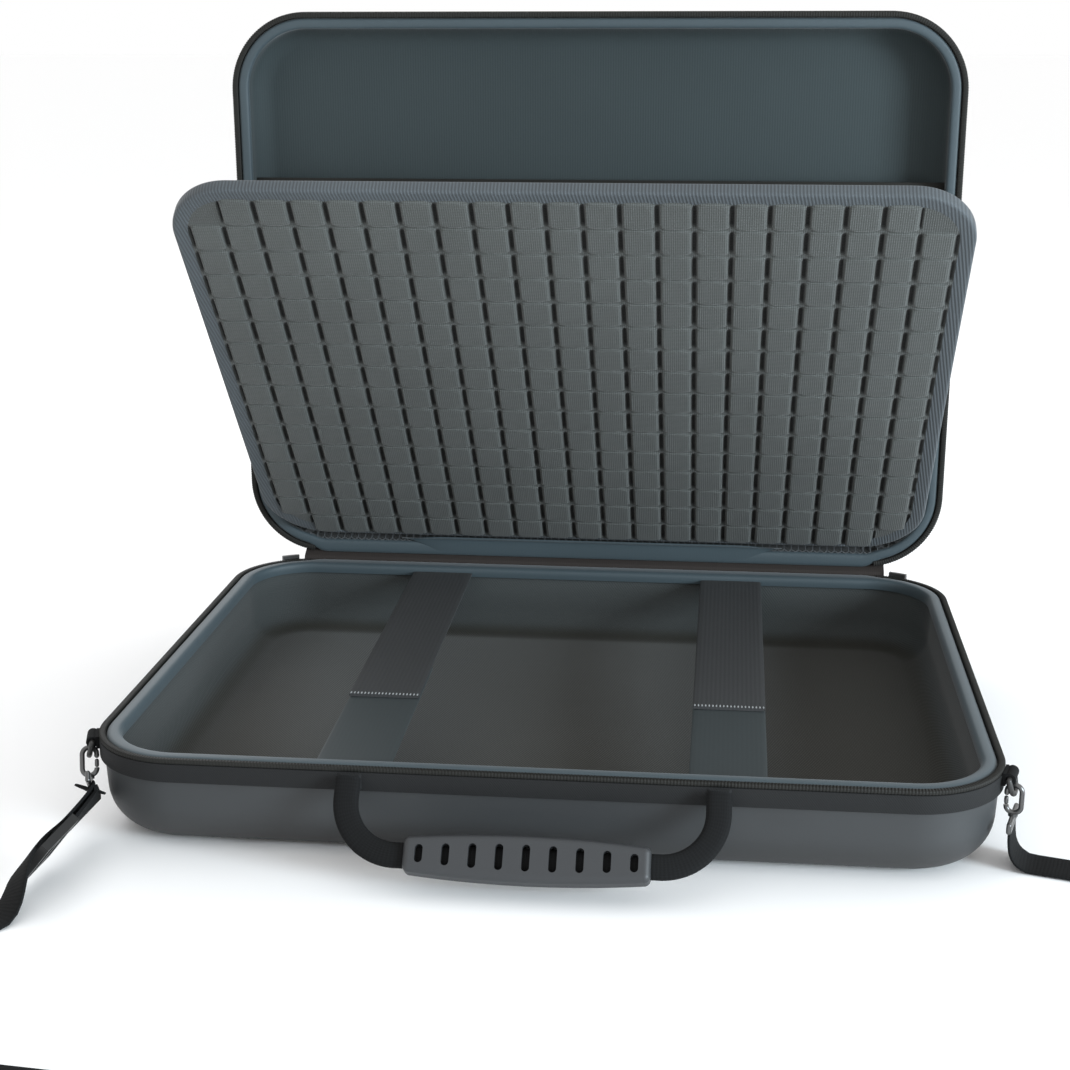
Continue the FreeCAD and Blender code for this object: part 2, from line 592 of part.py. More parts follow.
def handle_grip():
    """Lens-shaped soft grip with a row of slots, wrapped round the webbing."""
    half = GRIP_LENGTH / 2
    points = {}
    for sign in (-1, 1):
        points[sign] = [Vector(-half, HANDLE_REACH + sign * GRIP_END_HEIGHT / 2, 0),
                        Vector(0, HANDLE_REACH + sign * GRIP_MIDDLE_HEIGHT / 2, 0),
                        Vector(half, HANDLE_REACH + sign * GRIP_END_HEIGHT / 2, 0)]
    upper = Part.Arc(*points[-1]).toShape()
    lower = Part.Arc(*points[1]).toShape()
    left = Part.LineSegment(points[-1][0], points[1][0]).toShape()
    right = Part.LineSegment(points[-1][2], points[1][2]).toShape()
    face = Part.Face(Part.Wire([upper, right, lower, left]))
    solid = face.extrude(Vector(0, 0, GRIP_THICKNESS)).translated(Vector(0, 0, -GRIP_THICKNESS / 2))
    solid = solid.makeFillet(GRIP_ROUNDING, solid.Edges)
    core = webbing_section(Vector(half, HANDLE_REACH, 0), Y_AXIS).extrude(Vector(-GRIP_LENGTH, 0, 0))
    solid = solid.cut(core)
    for index in range(SLOT_COUNT):
        offset = index - (SLOT_COUNT - 1) / 2
        nearness = 1 - (2 * abs(offset) / (SLOT_COUNT - 1)) ** 2
        height = SLOT_END_HEIGHT + nearness * (SLOT_MIDDLE_HEIGHT - SLOT_END_HEIGHT)
        solid = solid.cut(obround(offset * SLOT_PITCH, HANDLE_REACH, SLOT_WIDTH, height, GRIP_THICKNESS))
    return solid


def handle_anchor(side, outer):
    """Stitched plate on the front wall with two ears and the pin that the webbing hangs on."""
    x_low = side * HANDLE_HALF_SPAN - ANCHOR_WIDTH / 2
    x_high = side * HANDLE_HALF_SPAN + ANCHOR_WIDTH / 2
    z_high = HANDLE_PIVOT_HEIGHT + ANCHOR_EYE_RADIUS
    z_low = z_high - ANCHOR_HEIGHT
    pivot_y = FRONT_Y - HANDLE_PIVOT_OUT
    plate = box((x_low, x_high), (FRONT_Y - RUNNING_GAP, FRONT_Y + TEETH_INSET), (z_low, z_high))
    pieces = []
    ear_reach = HANDLE_PIVOT_OUT + ANCHOR_PIN_RADIUS + RUNNING_GAP
    for x_from, x_to in ((x_low, x_low + ANCHOR_THICKNESS), (x_high - ANCHOR_THICKNESS, x_high)):
        pieces.append(box((x_from, x_to), (FRONT_Y - ear_reach, FRONT_Y),
                          (HANDLE_PIVOT_HEIGHT - ANCHOR_EYE_RADIUS, z_high)))
    pieces.append(rod(Vector(x_low, pivot_y, HANDLE_PIVOT_HEIGHT), Vector(x_high, pivot_y, HANDLE_PIVOT_HEIGHT),
                      ANCHOR_PIN_RADIUS))
    return plate.fuse(pieces).cut(outer).removeSplitter()


def corner_frame(angle_from_side, front):
    """Placement on the rim's right corner arc: X out of the rim, Y along it, Z up from the parting."""
    turn = -angle_from_side if front else angle_from_side
    centre = Vector(CORNER_X, -CORNER_Y if front else CORNER_Y, BASE_HEIGHT)
    radial = Vector(cos(radians(turn)), sin(radians(turn)), 0)
    origin = centre + radial * CORNER_RADIUS
    return Placement(origin, Rotation(Z_AXIS, turn))


def placed(shape, frame, side=1):
    """The shape in world coordinates; side -1 mirrors it to the left."""
    result = shape.copy()
    result.Placement = frame.multiply(result.Placement)
    if side < 0:
        result = result.mirror(Vector(0, 0, 0), X_AXIS)
    return result


def annular_block(inner_gap, outer_gap, half_angle, z_low, z_high):
    """A block that follows the corner's curve, centred on the local X axis of the corner frame."""
    centre = Vector(-CORNER_RADIUS, 0, z_low)
    height = z_high - z_low
    outer = Part.makeCylinder(CORNER_RADIUS + outer_gap, height, centre, Z_AXIS, 2 * half_angle)
    inner = Part.makeCylinder(CORNER_RADIUS + inner_gap, height, centre, Z_AXIS, 2 * half_angle)
    block = outer.cut(inner)
    block.rotate(centre, Z_AXIS, -half_angle)
    return block


def zip_slider():
    """Slider body that rides outside the tape, its ears and pin, and the hanging pull."""
    outer_gap = RUNNING_GAP + SLIDER_THICKNESS
    lower = annular_block(RUNNING_GAP, outer_gap, SLIDER_HALF_ANGLE, -SLIDER_BELOW, -SLIDER_STEP)
    upper = annular_block(SLIDER_UPPER_GAP, outer_gap, SLIDER_HALF_ANGLE, -SLIDER_STEP, SLIDER_ABOVE)
    pivot = Vector(outer_gap + PIVOT_OUT, 0, -SLIDER_BELOW / 2)
    inner_half = PULL_WIDTH / 2 + PIVOT_CLEARANCE
    outer_half = inner_half + PIVOT_EAR_THICKNESS
    pieces = [upper, rod(pivot - Y_AXIS * outer_half, pivot + Y_AXIS * outer_half, PIVOT_PIN_RADIUS)]
    for side in (-1, 1):
        y_range = sorted((side * inner_half, side * outer_half))
        pieces.append(box((SLIDER_THICKNESS / 2, pivot.x + PIVOT_PIN_RADIUS), y_range,
                          (pivot.z - PIVOT_PIN_RADIUS, pivot.z + PIVOT_PIN_RADIUS)))
    body = lower.fuse(pieces)
    half_width = PULL_WIDTH / 2
    bore = PIVOT_PIN_RADIUS + PIVOT_CLEARANCE
    eye_radius = min(bore + PULL_THICKNESS / 2, PIVOT_OUT - PIVOT_CLEARANCE)
    eye = rod(pivot - Y_AXIS * half_width, pivot + Y_AXIS * half_width, eye_radius)
    blade = box((pivot.x - PULL_THICKNESS / 2, pivot.x + PULL_THICKNESS / 2), (-half_width, half_width),
                (pivot.z - PULL_LENGTH, pivot.z))
    pull = eye.fuse(blade).cut(rod(pivot - Y_AXIS * outer_half, pivot + Y_AXIS * outer_half, bore))
    return body.removeSplitter(), pull.removeSplitter(), pivot


def wire_path(pieces):
    """One solid fused from bars and bends."""
    return pieces[0].fuse(pieces[1:]).removeSplitter()


def bend(centre, start, axis, angle, radius):
    """A round wire bent about an axis through the centre, starting at a point."""
    arm = start - centre
    along = axis.cross(arm)
    circle = Part.Face(Part.Wire(Part.makeCircle(radius, start, along)))
    return circle.revolve(centre, axis, angle)


def ring_tab():
    """Webbing tab on the tape with a loop for the ring's bar."""
    top = -RING_TAB_TOP_DROP
    low = top - RING_TAB_HEIGHT
    half = RING_TAB_WIDTH / 2
    bar = Vector(RING_BAR_OUT, 0, -RING_BAR_DROP)
    plate = annular_block(0, RING_TAB_THICKNESS, degrees(half / CORNER_RADIUS), low, top)
    loop_radius = RING_WIRE_RADIUS + RUNNING_GAP + RING_LOOP_WALL
    loop = rod(bar - Y_AXIS * half, bar + Y_AXIS * half, loop_radius)
    bore = RING_WIRE_RADIUS + RUNNING_GAP
    hole = rod(bar - Y_AXIS * RING_TAB_WIDTH, bar + Y_AXIS * RING_TAB_WIDTH, bore)
    behind_low = Vector(-CORNER_RADIUS, 0, low - half)
    behind = Part.makeCylinder(CORNER_RADIUS, RING_TAB_HEIGHT * 2, behind_low, Z_AXIS)
    return plate.fuse(loop).cut(hole).cut(behind).removeSplitter(), bar


def d_ring(bar):
    """The ring: straight bar, two legs and a half circle, hanging a little outwards."""
    half = RING_BEND
    low = Vector(0, 0, -RING_LEG)
    right = Y_AXIS * half
    pieces = [rod(-right, right, RING_WIRE_RADIUS)]
    for side in (-1, 1):
        corner = right * side
        pieces.append(rod(corner, corner + low, RING_WIRE_RADIUS))
        pieces.append(Part.makeSphere(RING_WIRE_RADIUS, corner))
    pieces.append(bend(low, low + right, X_AXIS, -180, RING_WIRE_RADIUS))
    ring = wire_path(pieces)
    ring.Placement = Placement(bar, Rotation(Y_AXIS, -RING_TILT))
    return ring


def ring_seat(bar, tilt):
    """Point on the ring's round part that a hook hanging at a tilt from the vertical rests on."""
    along = Vector(0, RING_BEND * sin(radians(tilt)), -RING_LEG - RING_BEND * cos(radians(tilt)))
    return bar + Rotation(Y_AXIS, -RING_TILT).multVec(along)


def snap_hook():
    """Claw hook round the origin, hanging down -Z: bent wire and stem, strap eye, and gate lever."""
    wire = HOOK_WIRE_RADIUS
    out = X_AXIS * HOOK_BEND
    top = Vector(0, 0, HOOK_RISE)
    low = Vector(0, 0, -HOOK_DROP)
    tip_end = Vector(0, 0, HOOK_TIP_RISE) - out
    pieces = [bend(top, top - out, Y_AXIS, 180, wire), rod(top + out, low + out, wire),
              bend(low, low + out, Y_AXIS, 180, wire),
              rod(top - out, tip_end, wire), Part.makeSphere(wire, tip_end)]
    neck = low - Vector(0, 0, HOOK_BEND)
    stem_end = neck - Vector(0, 0, HOOK_STEM_LENGTH)
    pieces.append(rod(neck, stem_end, HOOK_STEM_RADIUS))
    hook = wire_path(pieces)
    eye_half = HOOK_EYE_WIDTH / 2
    bar_low = stem_end - Vector(0, 0, HOOK_EYE_DROP)
    corners = [stem_end - Y_AXIS * eye_half, stem_end + Y_AXIS * eye_half,
               bar_low + Y_AXIS * eye_half, bar_low - Y_AXIS * eye_half]
    eye_pieces = []
    for index in range(4):
        eye_pieces.append(rod(corners[index], corners[(index + 1) % 4], wire))
        eye_pieces.append(Part.makeSphere(wire, corners[index]))
    eye = wire_path(eye_pieces).cut(hook)
    gate_low = low - out + Vector(0, 0, GATE_RADIUS + GATE_GAP)
    gate_high = tip_end - Vector(0, 0, wire + GATE_RADIUS + GATE_GAP)
    gate = rod(gate_low, gate_high, GATE_RADIUS).fuse(Part.makeSphere(GATE_RADIUS, gate_high))
    gate = gate.fuse(Part.makeSphere(GATE_RADIUS, gate_low))
    return hook, eye, gate, gate_low, bar_low


def ribbon(stations, offset=0):
    """A flat band through stations of (centre, across, through), moved by offset along through."""
    wires = []
    for centre, across, through in stations:
        a = Vector(across).normalize() * (SHOULDER_WIDTH / 2)
        t = Vector(through).normalize()
        middle = centre + t * offset
        t = t * (SHOULDER_THICKNESS / 2)
        points = [middle - a - t, middle + a - t, middle + a + t, middle - a + t]
        wires.append(Part.makePolygon(points + points[:1]))
    return Part.makeLoft(wires, True, True)


def station(centre, along, across):
    """A place on a ribbon: its centre, its width's direction square to the run, and its face's."""
    run = Vector(along).normalize()
    width = (across - run * across.dot(run)).normalize()
    return centre, width, run.cross(width)


def run_start(index, beside):
    """A point of the run on the ground, and the level direction from its neighbour to it."""
    ground = SHOULDER_THICKNESS / 2
    point = Vector(*RUN_POINTS[index], ground)
    return point, point - Vector(*RUN_POINTS[beside], ground)


def shoulder_strap(right_eye, left_eye):
    """Stations of the right and left falls; each eye is (point, across, hanging direction)."""
    drop = HOOK_WIRE_RADIUS + SHOULDER_THICKNESS / 2
    point, across, hanging = right_eye
    landing, back = run_start(0, 1)
    lead = point + hanging * (drop + SHOULDER_LEAD)
    under = Vector(lead.x, lead.y, landing.z)
    right = [station(point + hanging * drop, hanging, across), station(lead, hanging, across)]
    for share in FALL_SHARES:
        first = blend_point(lead, under, share)
        second = blend_point(under, landing, share)
        right.append(station(blend_point(first, second, share), second - first, across))
    right.append(station(landing, back * -1, across))

    point, across, hanging = left_eye
    centre = Vector(*LEFT_ADJUSTER)
    landing, back = run_start(-1, -2)
    lead = point + hanging * (drop + SHOULDER_LEAD)
    slope = centre - lead
    reach = Vector(slope).normalize() * (ADJUSTER_LENGTH / 2)
    width = Vector(*LEFT_ADJUSTER_ACROSS)
    left = [station(point + hanging * drop, hanging, across), station(lead, hanging, across),
            station(centre - reach, slope, width), station(centre + reach, slope, width),
            station(landing, back, X_AXIS * -1)]
    return right, left


def blend_point(first, second, share):
    """The point at a share of the way from the first to the second."""
    return first * (1 - share) + second * share


def floor_band(points, radii):
    """A band lying flat on the ground along straight runs joined by arcs."""
    half = SHOULDER_WIDTH / 2
    thickness = SHOULDER_THICKNESS
    solids = []
    start = points[0]
    for index in range(1, len(points)):
        corner = points[index]
        if index == len(points) - 1:
            solids.append(flat_run(start, corner, half, thickness))
            break
        before = (corner - points[index - 1]).normalize()
        after = (points[index + 1] - corner).normalize()
        turn = before.getAngle(after)
        radius = radii[index - 1]
        reach = radius * tan(turn / 2)
        first = corner - before * reach
        solids.append(flat_run(start, first, half, thickness))
        sign = 1 if before.cross(after).z > 0 else -1
        normal = Vector(-before.y, before.x, 0) * sign
        centre = first + normal * radius
        arm = first - centre
        low = centre + arm * ((radius - half) / radius)
        high = centre + arm * ((radius + half) / radius)
        up = Vector(0, 0, thickness)
        face = Part.Face(Part.makePolygon([low, high, high + up, low + up, low]))
        solids.append(face.revolve(centre, Z_AXIS, sign * degrees(turn)))
        start = corner + after * reach
    return solids[0].fuse(solids[1:]).removeSplitter()


def flat_run(start, end, half, thickness):
    """A straight length of band lying on the ground."""
    along = end - start
    solid = Part.makeBox(along.Length, 2 * half, thickness, Vector(0, -half, 0))
    solid.Placement = Placement(start, Rotation(Z_AXIS, degrees(atan2(along.y, along.x))))
    return solid


def adjuster():
    """Strap adjuster: a frame with a middle bar."""
    half_w = ADJUSTER_WIDTH / 2
    half_l = ADJUSTER_LENGTH / 2
    half_t = ADJUSTER_THICKNESS / 2
    body = box((-half_w, half_w), (-half_l, half_l), (-half_t, half_t))
    slot_half = SHOULDER_WIDTH / 2 + RUNNING_GAP
    for side in (-1, 1):
        y_range = sorted((side * ADJUSTER_BAR / 2, side * (half_l - ADJUSTER_BAR)))
        body = body.cut(box((-slot_half, slot_half), y_range, (-ADJUSTER_THICKNESS, ADJUSTER_THICKNESS)))
    return body


def build():
    """Every sub-part in world coordinates, by node name."""
    nodes = {}
    shell, lining, tape, teeth, lip, base_cavity = half_case(BASE_HEIGHT, BASE_EDGE_RADIUS)
    base_outer = tray(TAPE_THICKNESS, 0, BASE_HEIGHT - STACK, BASE_EDGE_RADIUS)
    nodes["base_lining"] = lining
    nodes["base_zip_teeth"] = teeth
    nodes["base_rim_lip"] = lip
    nodes["spine_base"] = spine_base(base_outer)
    nodes["base_shell"] = shell
    for side, name in ((-1, "left"), (1, "right")):
        nodes["hinge_tab_" + name] = hinge_tab(side, base_outer)
        anchor = handle_anchor(side, base_outer)
        nodes["handle_anchor_" + name] = anchor
        tape = tape.cut(anchor)
    nodes["base_zip_tape"] = tape

    *lid_parts, lid_cavity = half_case(LID_HEIGHT, LID_EDGE_RADIUS)
    lid_outer = tray(TAPE_THICKNESS, 0, LID_HEIGHT - STACK, LID_EDGE_RADIUS)
    turned = LID_OPEN.multiply(LID_FROM_TRAY)
    lid_names = ["lid_shell", "lid_lining", "lid_zip_tape", "lid_zip_teeth", "lid_rim_lip"]
    for name, shape in zip(lid_names, lid_parts):
        nodes[name] = placed(shape.mirror(Vector(0, 0, 0), Y_AXIS), turned)
    cavity = lid_cavity.mirror(Vector(0, 0, 0), Y_AXIS)
    nodes["spine_lid"] = placed(spine_lid(lid_outer), LID_OPEN)
    nodes["divider_flap"] = placed(divider_flap(), LID_OPEN)
    sheet, zip_tape, zip_teeth = mesh_pocket(cavity)
    nodes["mesh_pocket"] = placed(sheet, LID_OPEN)
    nodes["pocket_zip_tape"] = placed(zip_tape, LID_OPEN)
    nodes["pocket_zip_teeth"] = placed(zip_teeth, LID_OPEN)
    slider, pull, pull_pivot = pocket_slider()
    nodes["pocket_slider"] = placed(slider, LID_OPEN)
    nodes["pocket_pull"] = placed(pull, LID_OPEN)
    print("pocket pull pivot", LID_OPEN.multVec(pull_pivot), "zip direction +X")

    frame = divider_frame()
    core, back, binding = divider_parts()
    nodes["divider_core"] = placed(core, frame)
    nodes["divider_back"] = placed(back, frame)
    nodes["divider_binding"] = placed(binding, frame)
    nodes["divider_pads"] = placed(divider_pads(), frame)
    print("divider hinge", frame.Base)

    for x_centre, name in ((STRAP_LEFT_X, "left"), (STRAP_RIGHT_X, "right")):
        front, root, rear, hinge_y = strap_parts(x_centre, base_cavity)
        nodes["strap_front_" + name] = front
        nodes["strap_root_" + name] = root
        nodes["strap_rear_" + name] = rear
    print("strap hinge", hinge_y, strap_line(hinge_y) + 2 * STRAP_THICKNESS + RUNNING_GAP)

    handle = handle_frame()
    for side, name in ((-1, "left"), (1, "right")):
        nodes["handle_webbing_" + name] = placed(handle_webbing(side), handle)
    nodes["handle_grip"] = placed(handle_grip(), handle)
    print("handle pivot", handle.Base)

    eyes = {}
    for side, name in ((-1, "left"), (1, "right")):
        back_frame = corner_frame(90 - SLIDER_PARK_ANGLE, False)
        body, pull, pivot = zip_slider()
        nodes["zip_slider_" + name] = placed(body, back_frame, side)
        nodes["zip_pull_" + name] = placed(pull, back_frame, side)
        axis = back_frame.Rotation.multVec(Y_AXIS)
        print("zip pull pivot", name, back_frame.multVec(pivot), "axis", axis)
        front_frame = corner_frame(RING_TAB_ANGLE, True)
        tab, bar = ring_tab()
        nodes["ring_tab_" + name] = placed(tab, front_frame, side)
        nodes["d_ring_" + name] = placed(d_ring(bar), front_frame, side)
        hook, eye, gate, gate_low, bar_low = snap_hook()
        tilt = HOOK_TILT_LEFT if side < 0 else HOOK_TILT_RIGHT
        hook_frame = front_frame.multiply(Placement(ring_seat(bar, tilt), Rotation(X_AXIS, tilt)))
        nodes["snap_hook_" + name] = placed(hook, hook_frame, side)
        nodes["hook_eye_" + name] = placed(eye, hook_frame, side)
        nodes["hook_gate_" + name] = placed(gate, hook_frame, side)
        eye_point = hook_frame.multVec(bar_low)
        across = hook_frame.Rotation.multVec(Y_AXIS)
        hanging = hook_frame.Rotation.multVec(Z_AXIS * -1)
        eyes[side] = [Vector(side * v.x, v.y, v.z) for v in (eye_point, across, hanging)]
        print("ring bar", name, front_frame.multVec(bar), "gate", hook_frame.multVec(gate_low),
              "eye", eye_point, "across", across)
    right_stations, left_stations = shoulder_strap(eyes[1], eyes[-1])
    nodes["shoulder_strap_right"] = ribbon(right_stations)
    nodes["shoulder_strap_left"] = ribbon(left_stations)
    nodes["shoulder_strap_return"] = ribbon(left_stations[:3], STRAP_LAYER_GAP)
    near, far = left_stations[2], left_stations[3]
    along = (far[0] - near[0]).normalize()
    across = near[1]
    through = along.cross(across)
    frame = adjuster()
    lift = SHOULDER_THICKNESS / 2 + ADJUSTER_THICKNESS / 2 + RUNNING_GAP
    centre = blend_point(near[0], far[0], 1 / 2) + through * lift
    frame.Placement = Placement(centre, Rotation(across, along, through * -1, "ZXY"))
    nodes["strap_adjuster"] = frame
    nodes["shoulder_strap_run"] = floor_band([Vector(x, y, 0) for x, y in RUN_POINTS], RUN_BENDS)
    return nodes


def main():
    os.makedirs("parts", exist_ok=True)
    for name, shape in build().items():
        shape.exportStep(os.path.join("parts", name + ".step"))
        print(name, "valid", shape.isValid(), "solids", len(shape.Solids), "volume", round(shape.Volume))


if __name__ == "__main__":
    main()
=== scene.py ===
from math import asin, cos, pi, radians, sin, tau
import bpy
import numpy as np
from mathutils import Matrix, Vector


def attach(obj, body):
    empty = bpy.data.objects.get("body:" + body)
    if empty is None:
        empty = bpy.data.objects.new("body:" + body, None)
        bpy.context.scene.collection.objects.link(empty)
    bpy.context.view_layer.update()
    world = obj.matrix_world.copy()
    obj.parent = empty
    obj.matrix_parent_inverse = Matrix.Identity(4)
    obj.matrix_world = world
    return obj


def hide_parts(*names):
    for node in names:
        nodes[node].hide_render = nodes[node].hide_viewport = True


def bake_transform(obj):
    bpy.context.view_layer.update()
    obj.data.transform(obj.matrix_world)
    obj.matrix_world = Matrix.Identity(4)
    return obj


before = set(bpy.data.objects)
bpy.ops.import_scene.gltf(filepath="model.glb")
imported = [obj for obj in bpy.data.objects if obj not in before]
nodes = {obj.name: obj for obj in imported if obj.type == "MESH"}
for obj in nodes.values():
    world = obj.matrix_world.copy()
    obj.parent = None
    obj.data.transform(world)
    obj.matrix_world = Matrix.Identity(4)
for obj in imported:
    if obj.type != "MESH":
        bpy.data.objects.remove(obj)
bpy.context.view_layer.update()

MM = 0.001

# Sizes of the case, in mm, in the CAD's frame
CASE_HALF_X = 215.0
CASE_HALF_Y = 165.0
CORNER_RADIUS = 45.0
BASE_HEIGHT = 47.5
LID_HEIGHT = 30.0
BASE_EDGE_RADIUS = 22.0
LID_EDGE_RADIUS = 18.0
WALL_DRAFT = 2.0
TAPE_THICKNESS = 2.0
SHELL_INSET = 6.5
SHELL_THICKNESS = 4.5
LINING_INSET = 8.0
LINING_FLOOR = 6.0
FLOOR_RING_INSET = 38.0
FLOOR_RINGS = 4
RIM_STACK = 4.2
HALF_GAP = 0.15
TEETH_HEIGHT = 2.5
TEETH_WIDTH = 3.5
TEETH_PITCH = 1.5
BASE_LIP_WIDTH = 7.5
LID_LIP_WIDTH = 6.2
BASE_LIP_RECESS = 0.4
LID_LIP_RECESS = 1.0
LID_LIP_NARROWING = 1.7
LIP_REAR_OUT = 4.3
LIP_REAR_RISE = 1.6
LIP_TURN = 14.0
LIP_LAP = 2.6
LIP_GAP = 0.1
LIP_UNDER = 0.3
LIP_FOOT = 0.6
LIP_SQUARENESS = 0.62
TAPE_BAND = 9.0
TAPE_TUCK = 1.4
TAPE_ROUND = 0.5
TEETH_INSET = 0.25
TEETH_TOP_GAP = 0.2
TEETH_ROUND = 0.7
TEETH_RIPPLE = 0.12
TEETH_STEEPNESS = 2.2
SKIN_GAP = 0.1
RIM_STEP = 3.0
DENT_ASIDE = 17.0
DENT_Z = 30.0
DENT_REACH_X = 15.0
DENT_REACH_Z = 7.0
DENT_DEPTH = 0.9
HINGE_Y = 168.0
HINGE_TAB_END = 182.0
LID_OPEN_ANGLE = 89.16
SPINE_HALF = 182.0
LID_TAPE_END = 176.0
SPINE_THICKNESS = 1.2
SPINE_STEP = 0.8
SPINE_POINTS = [(-3.0, -11.4), (-3.0, -6.5), (-2.3, -4.4), (-1.3, -2.4), (-0.5, -0.9), (-0.1, -0.1)]

# Sizes of the divider
DIVIDER_ORIGIN = (0.0, 167.802, 60.9985)
DIVIDER_ANGLE = 130.17
DIVIDER_HALF_X = 202.0
DIVIDER_LOW = 2.5
DIVIDER_HIGH = 304.8
DIVIDER_LOW_RADIUS = 38.0
DIVIDER_HIGH_RADIUS = 33.0
DIVIDER_THICKNESS = 8.5
BINDING_WIDTH = 8.0
BINDING_LOW_WIDTH = 1.6
BINDING_TOP = -0.5
BINDING_ROUND = 2.2
BINDING_BACK_GAP = 0.8
BINDING_SLOPE = 0.8
BINDING_SQUARENESS = 0.4
BINDING_LOW_NORMAL = -0.7
BINDING_NARROW_HALF = 150.0
BINDING_NARROW_TURN = 24.0
FRONT_MARGIN_X = 1.2
FRONT_MARGIN_Y = 0.8
FRONT_LOW_GAP = 0.6
FRONT_UNDER = 2.0
EDGE_STEP = 2.0
COVER_LAP = 1.0
COVER_CORNER_CUT = 6.0
COVER_RING_INSET = 12.0
COVER_ROUND = 0.5
COVER_BACK_GAP = 0.3
COVER_FRONT_GAP = 1.0
PAD_PITCH = 18.37
PAD_COLUMNS = 21
PAD_ROWS = 16
PAD_FIRST_Y = 3.99
PAD_HEIGHT = 2.5
PAD_TOP_DROP = 0.1
PAD_SIDE_GAP = 0.6
PAD_END_GAP = 0.1
PAD_CORNER = 3.2
PAD_RISE = 4.2
PAD_RIGHT_SLOPE = 1.9
PAD_LEFT_SLOPE = 1.1
PAD_END_SLOPE = 0.9
PAD_GROOVE_DEPTH = 2.4
PAD_CROSSING = 1.2
PAD_END_DEPTH = 1.0
PAD_HOLLOW_REACH = 1.2
PAD_GRID_SHARES = [0, 0.028, 0.05, 0.07, 0.095, 0.13, 0.2, 0.35,
                   0.5, 0.65, 0.8, 0.87, 0.905, 0.93, 0.95, 0.972]
FLAP_HALF = 119.0
FLAP_AXIS = 13.5
FLAP_HEM = 1.3
FLAP_POINTS = [(5.2, 1.3), (8.0, 0.9), (11.0, 0.55), (FLAP_AXIS, 0.0), (FLAP_AXIS + FLAP_HEM, -FLAP_HEM)]
FLAP_STEP = 0.8
FLAP_THICKNESS = 0.9
FLAP_TAPER = 28.0
FLAP_END_SHARE = 0.06
FLAP_END_SINK = 0.7

# Sizes of the net pocket
NET_DEPTH = 14.9
NET_LOW = 13.2
NET_INSET = 8.0
NET_LIFT = 12.0
NET_LIFT_START = 9.5
NET_LIFT_REACH = 4.5
NET_SAG = 1.2
NET_HIGH = 222.0
NET_PITCH = 4.4
NET_STRAND = 0.62
NET_THICKNESS = 0.6
POCKET_TAPE_LOW = 222.0
POCKET_TAPE_HIGH = 236.0
POCKET_TAPE_LAP = 3.0
POCKET_TAPE_FRONT = 0.9
POCKET_TAPE_BACK = 0.8
POCKET_TAPE_SIDE_GAP = 1.2

# Sizes of the elastic straps
STRAP_HALF = 18.5
STRAP_THICKNESS = 1.6
STRAP_LEFT_X = -91.0
STRAP_RIGHT_X = 88.0
STRAP_REAR_Z = 40.0
STRAP_FRONT_Z = 30.0
STRAP_REACH_Y = 157.0
STRAP_STITCH_Y = -45.0
STRAP_FRONT_END_Y = 0.0
STRAP_LIFT = 1.9
STRAP_ROW_STEP = 4.0
STRAP_SIDE_SQUARENESS = 0.28
STRAP_FACE_SQUARENESS = 0.4
STITCH_COUNT = 20
STITCH_MARGIN = 1.0
STITCH_HALF = 1.3
STITCH_TIP = 1.45
STITCH_RADIUS = 0.42
STITCH_RISE = 0.12
STITCH_FLAT_SHARE = 0.55

# Sizes of the carrying handle
HANDLE_PIVOT = (0.0, -168.6, 42.0)
HANDLE_TILT = 40.0
HANDLE_HALF_SPAN = 84.0
HANDLE_REACH = 33.0
WEBBING_HALF_WIDTH = 5.75
WEBBING_HALF_THICKNESS = 3.0
WEBBING_BEND = 25.0
WEBBING_TOP = -1.5
WEBBING_DOWN_SHARE = 0.6
WEBBING_MIDDLE = 0.05
WEBBING_SQUARENESS = 0.7
PATCH_HALF_WIDTH = 5.4
PATCH_LOW = 36.4
PATCH_HIGH = 44.4
PATCH_THICKNESS = 1.0
PATCH_SINK = 1.0
PATCH_FLATNESS = 8
PATCH_CROWN_SHARE = 0.15

# Places of the shoulder strap
SHOULDER_HALF = 10.0
SHOULDER_THICKNESS = 1.6
SHOULDER_SQUARENESS = 0.4
RIGHT_EYE = (218.117, -133.797, 20.452)
LEFT_EYE = (-214.308, -145.892, 24.409)
RIGHT_ACROSS = (0.2756, 0.9613, 0.0)
LEFT_ACROSS = (-0.2258, 0.7874, -0.5736)
LEFT_HANGING = (0.158, -0.552, -0.819)
LEFT_ADJUSTER = (-219.5, -198.0, 17.0)
LEFT_ADJUSTER_ACROSS = (-0.6, 0.2, -0.75)
ADJUSTER_REACH = 15.0
STRAP_STEP = 4.0
EYE_DROP = 2.0
EYE_LEAD = 3.0
RUN_POINTS = [(230.0, -136.5), (285.0, -152.3), (300.0, -330.0), (200.0, -368.0), (0.0, -372.0),
              (-236.0, -352.0), (-275.0, -300.0), (-262.0, -268.0), (-226.0, -236.0)]
RUN_BENDS = [45.0, 60.0, 100.0, 600.0, 45.0, 20.0, 24.0]
FALL_SHARES = (1 / 4, 1 / 2, 3 / 4)


def turned(angle_deg, origin):
    """A placement: a turn about X by the angle, then a shift to the origin."""
    return Matrix.Translation(Vector(origin)) @ Matrix.Rotation(radians(angle_deg), 4, "X")


LID_PLACE = turned(-LID_OPEN_ANGLE, (0.0, HINGE_Y, BASE_HEIGHT))
DIVIDER_PLACE = turned(DIVIDER_ANGLE, DIVIDER_ORIGIN)
HANDLE_PLACE = turned(-90 - HANDLE_TILT, HANDLE_PIVOT)


def put(points, place):
    """Points moved by a placement: the matrix times each point."""
    matrix = np.array(place)
    return points @ matrix[:3, :3].T + matrix[:3, 3]


def from_tray(points):
    """Points of the lid's tray, open side up, turned over and placed on the open hinge."""
    flipped = points * [1, 1, -1] + [0, -HINGE_Y, LID_HEIGHT]
    return put(flipped, LID_PLACE)


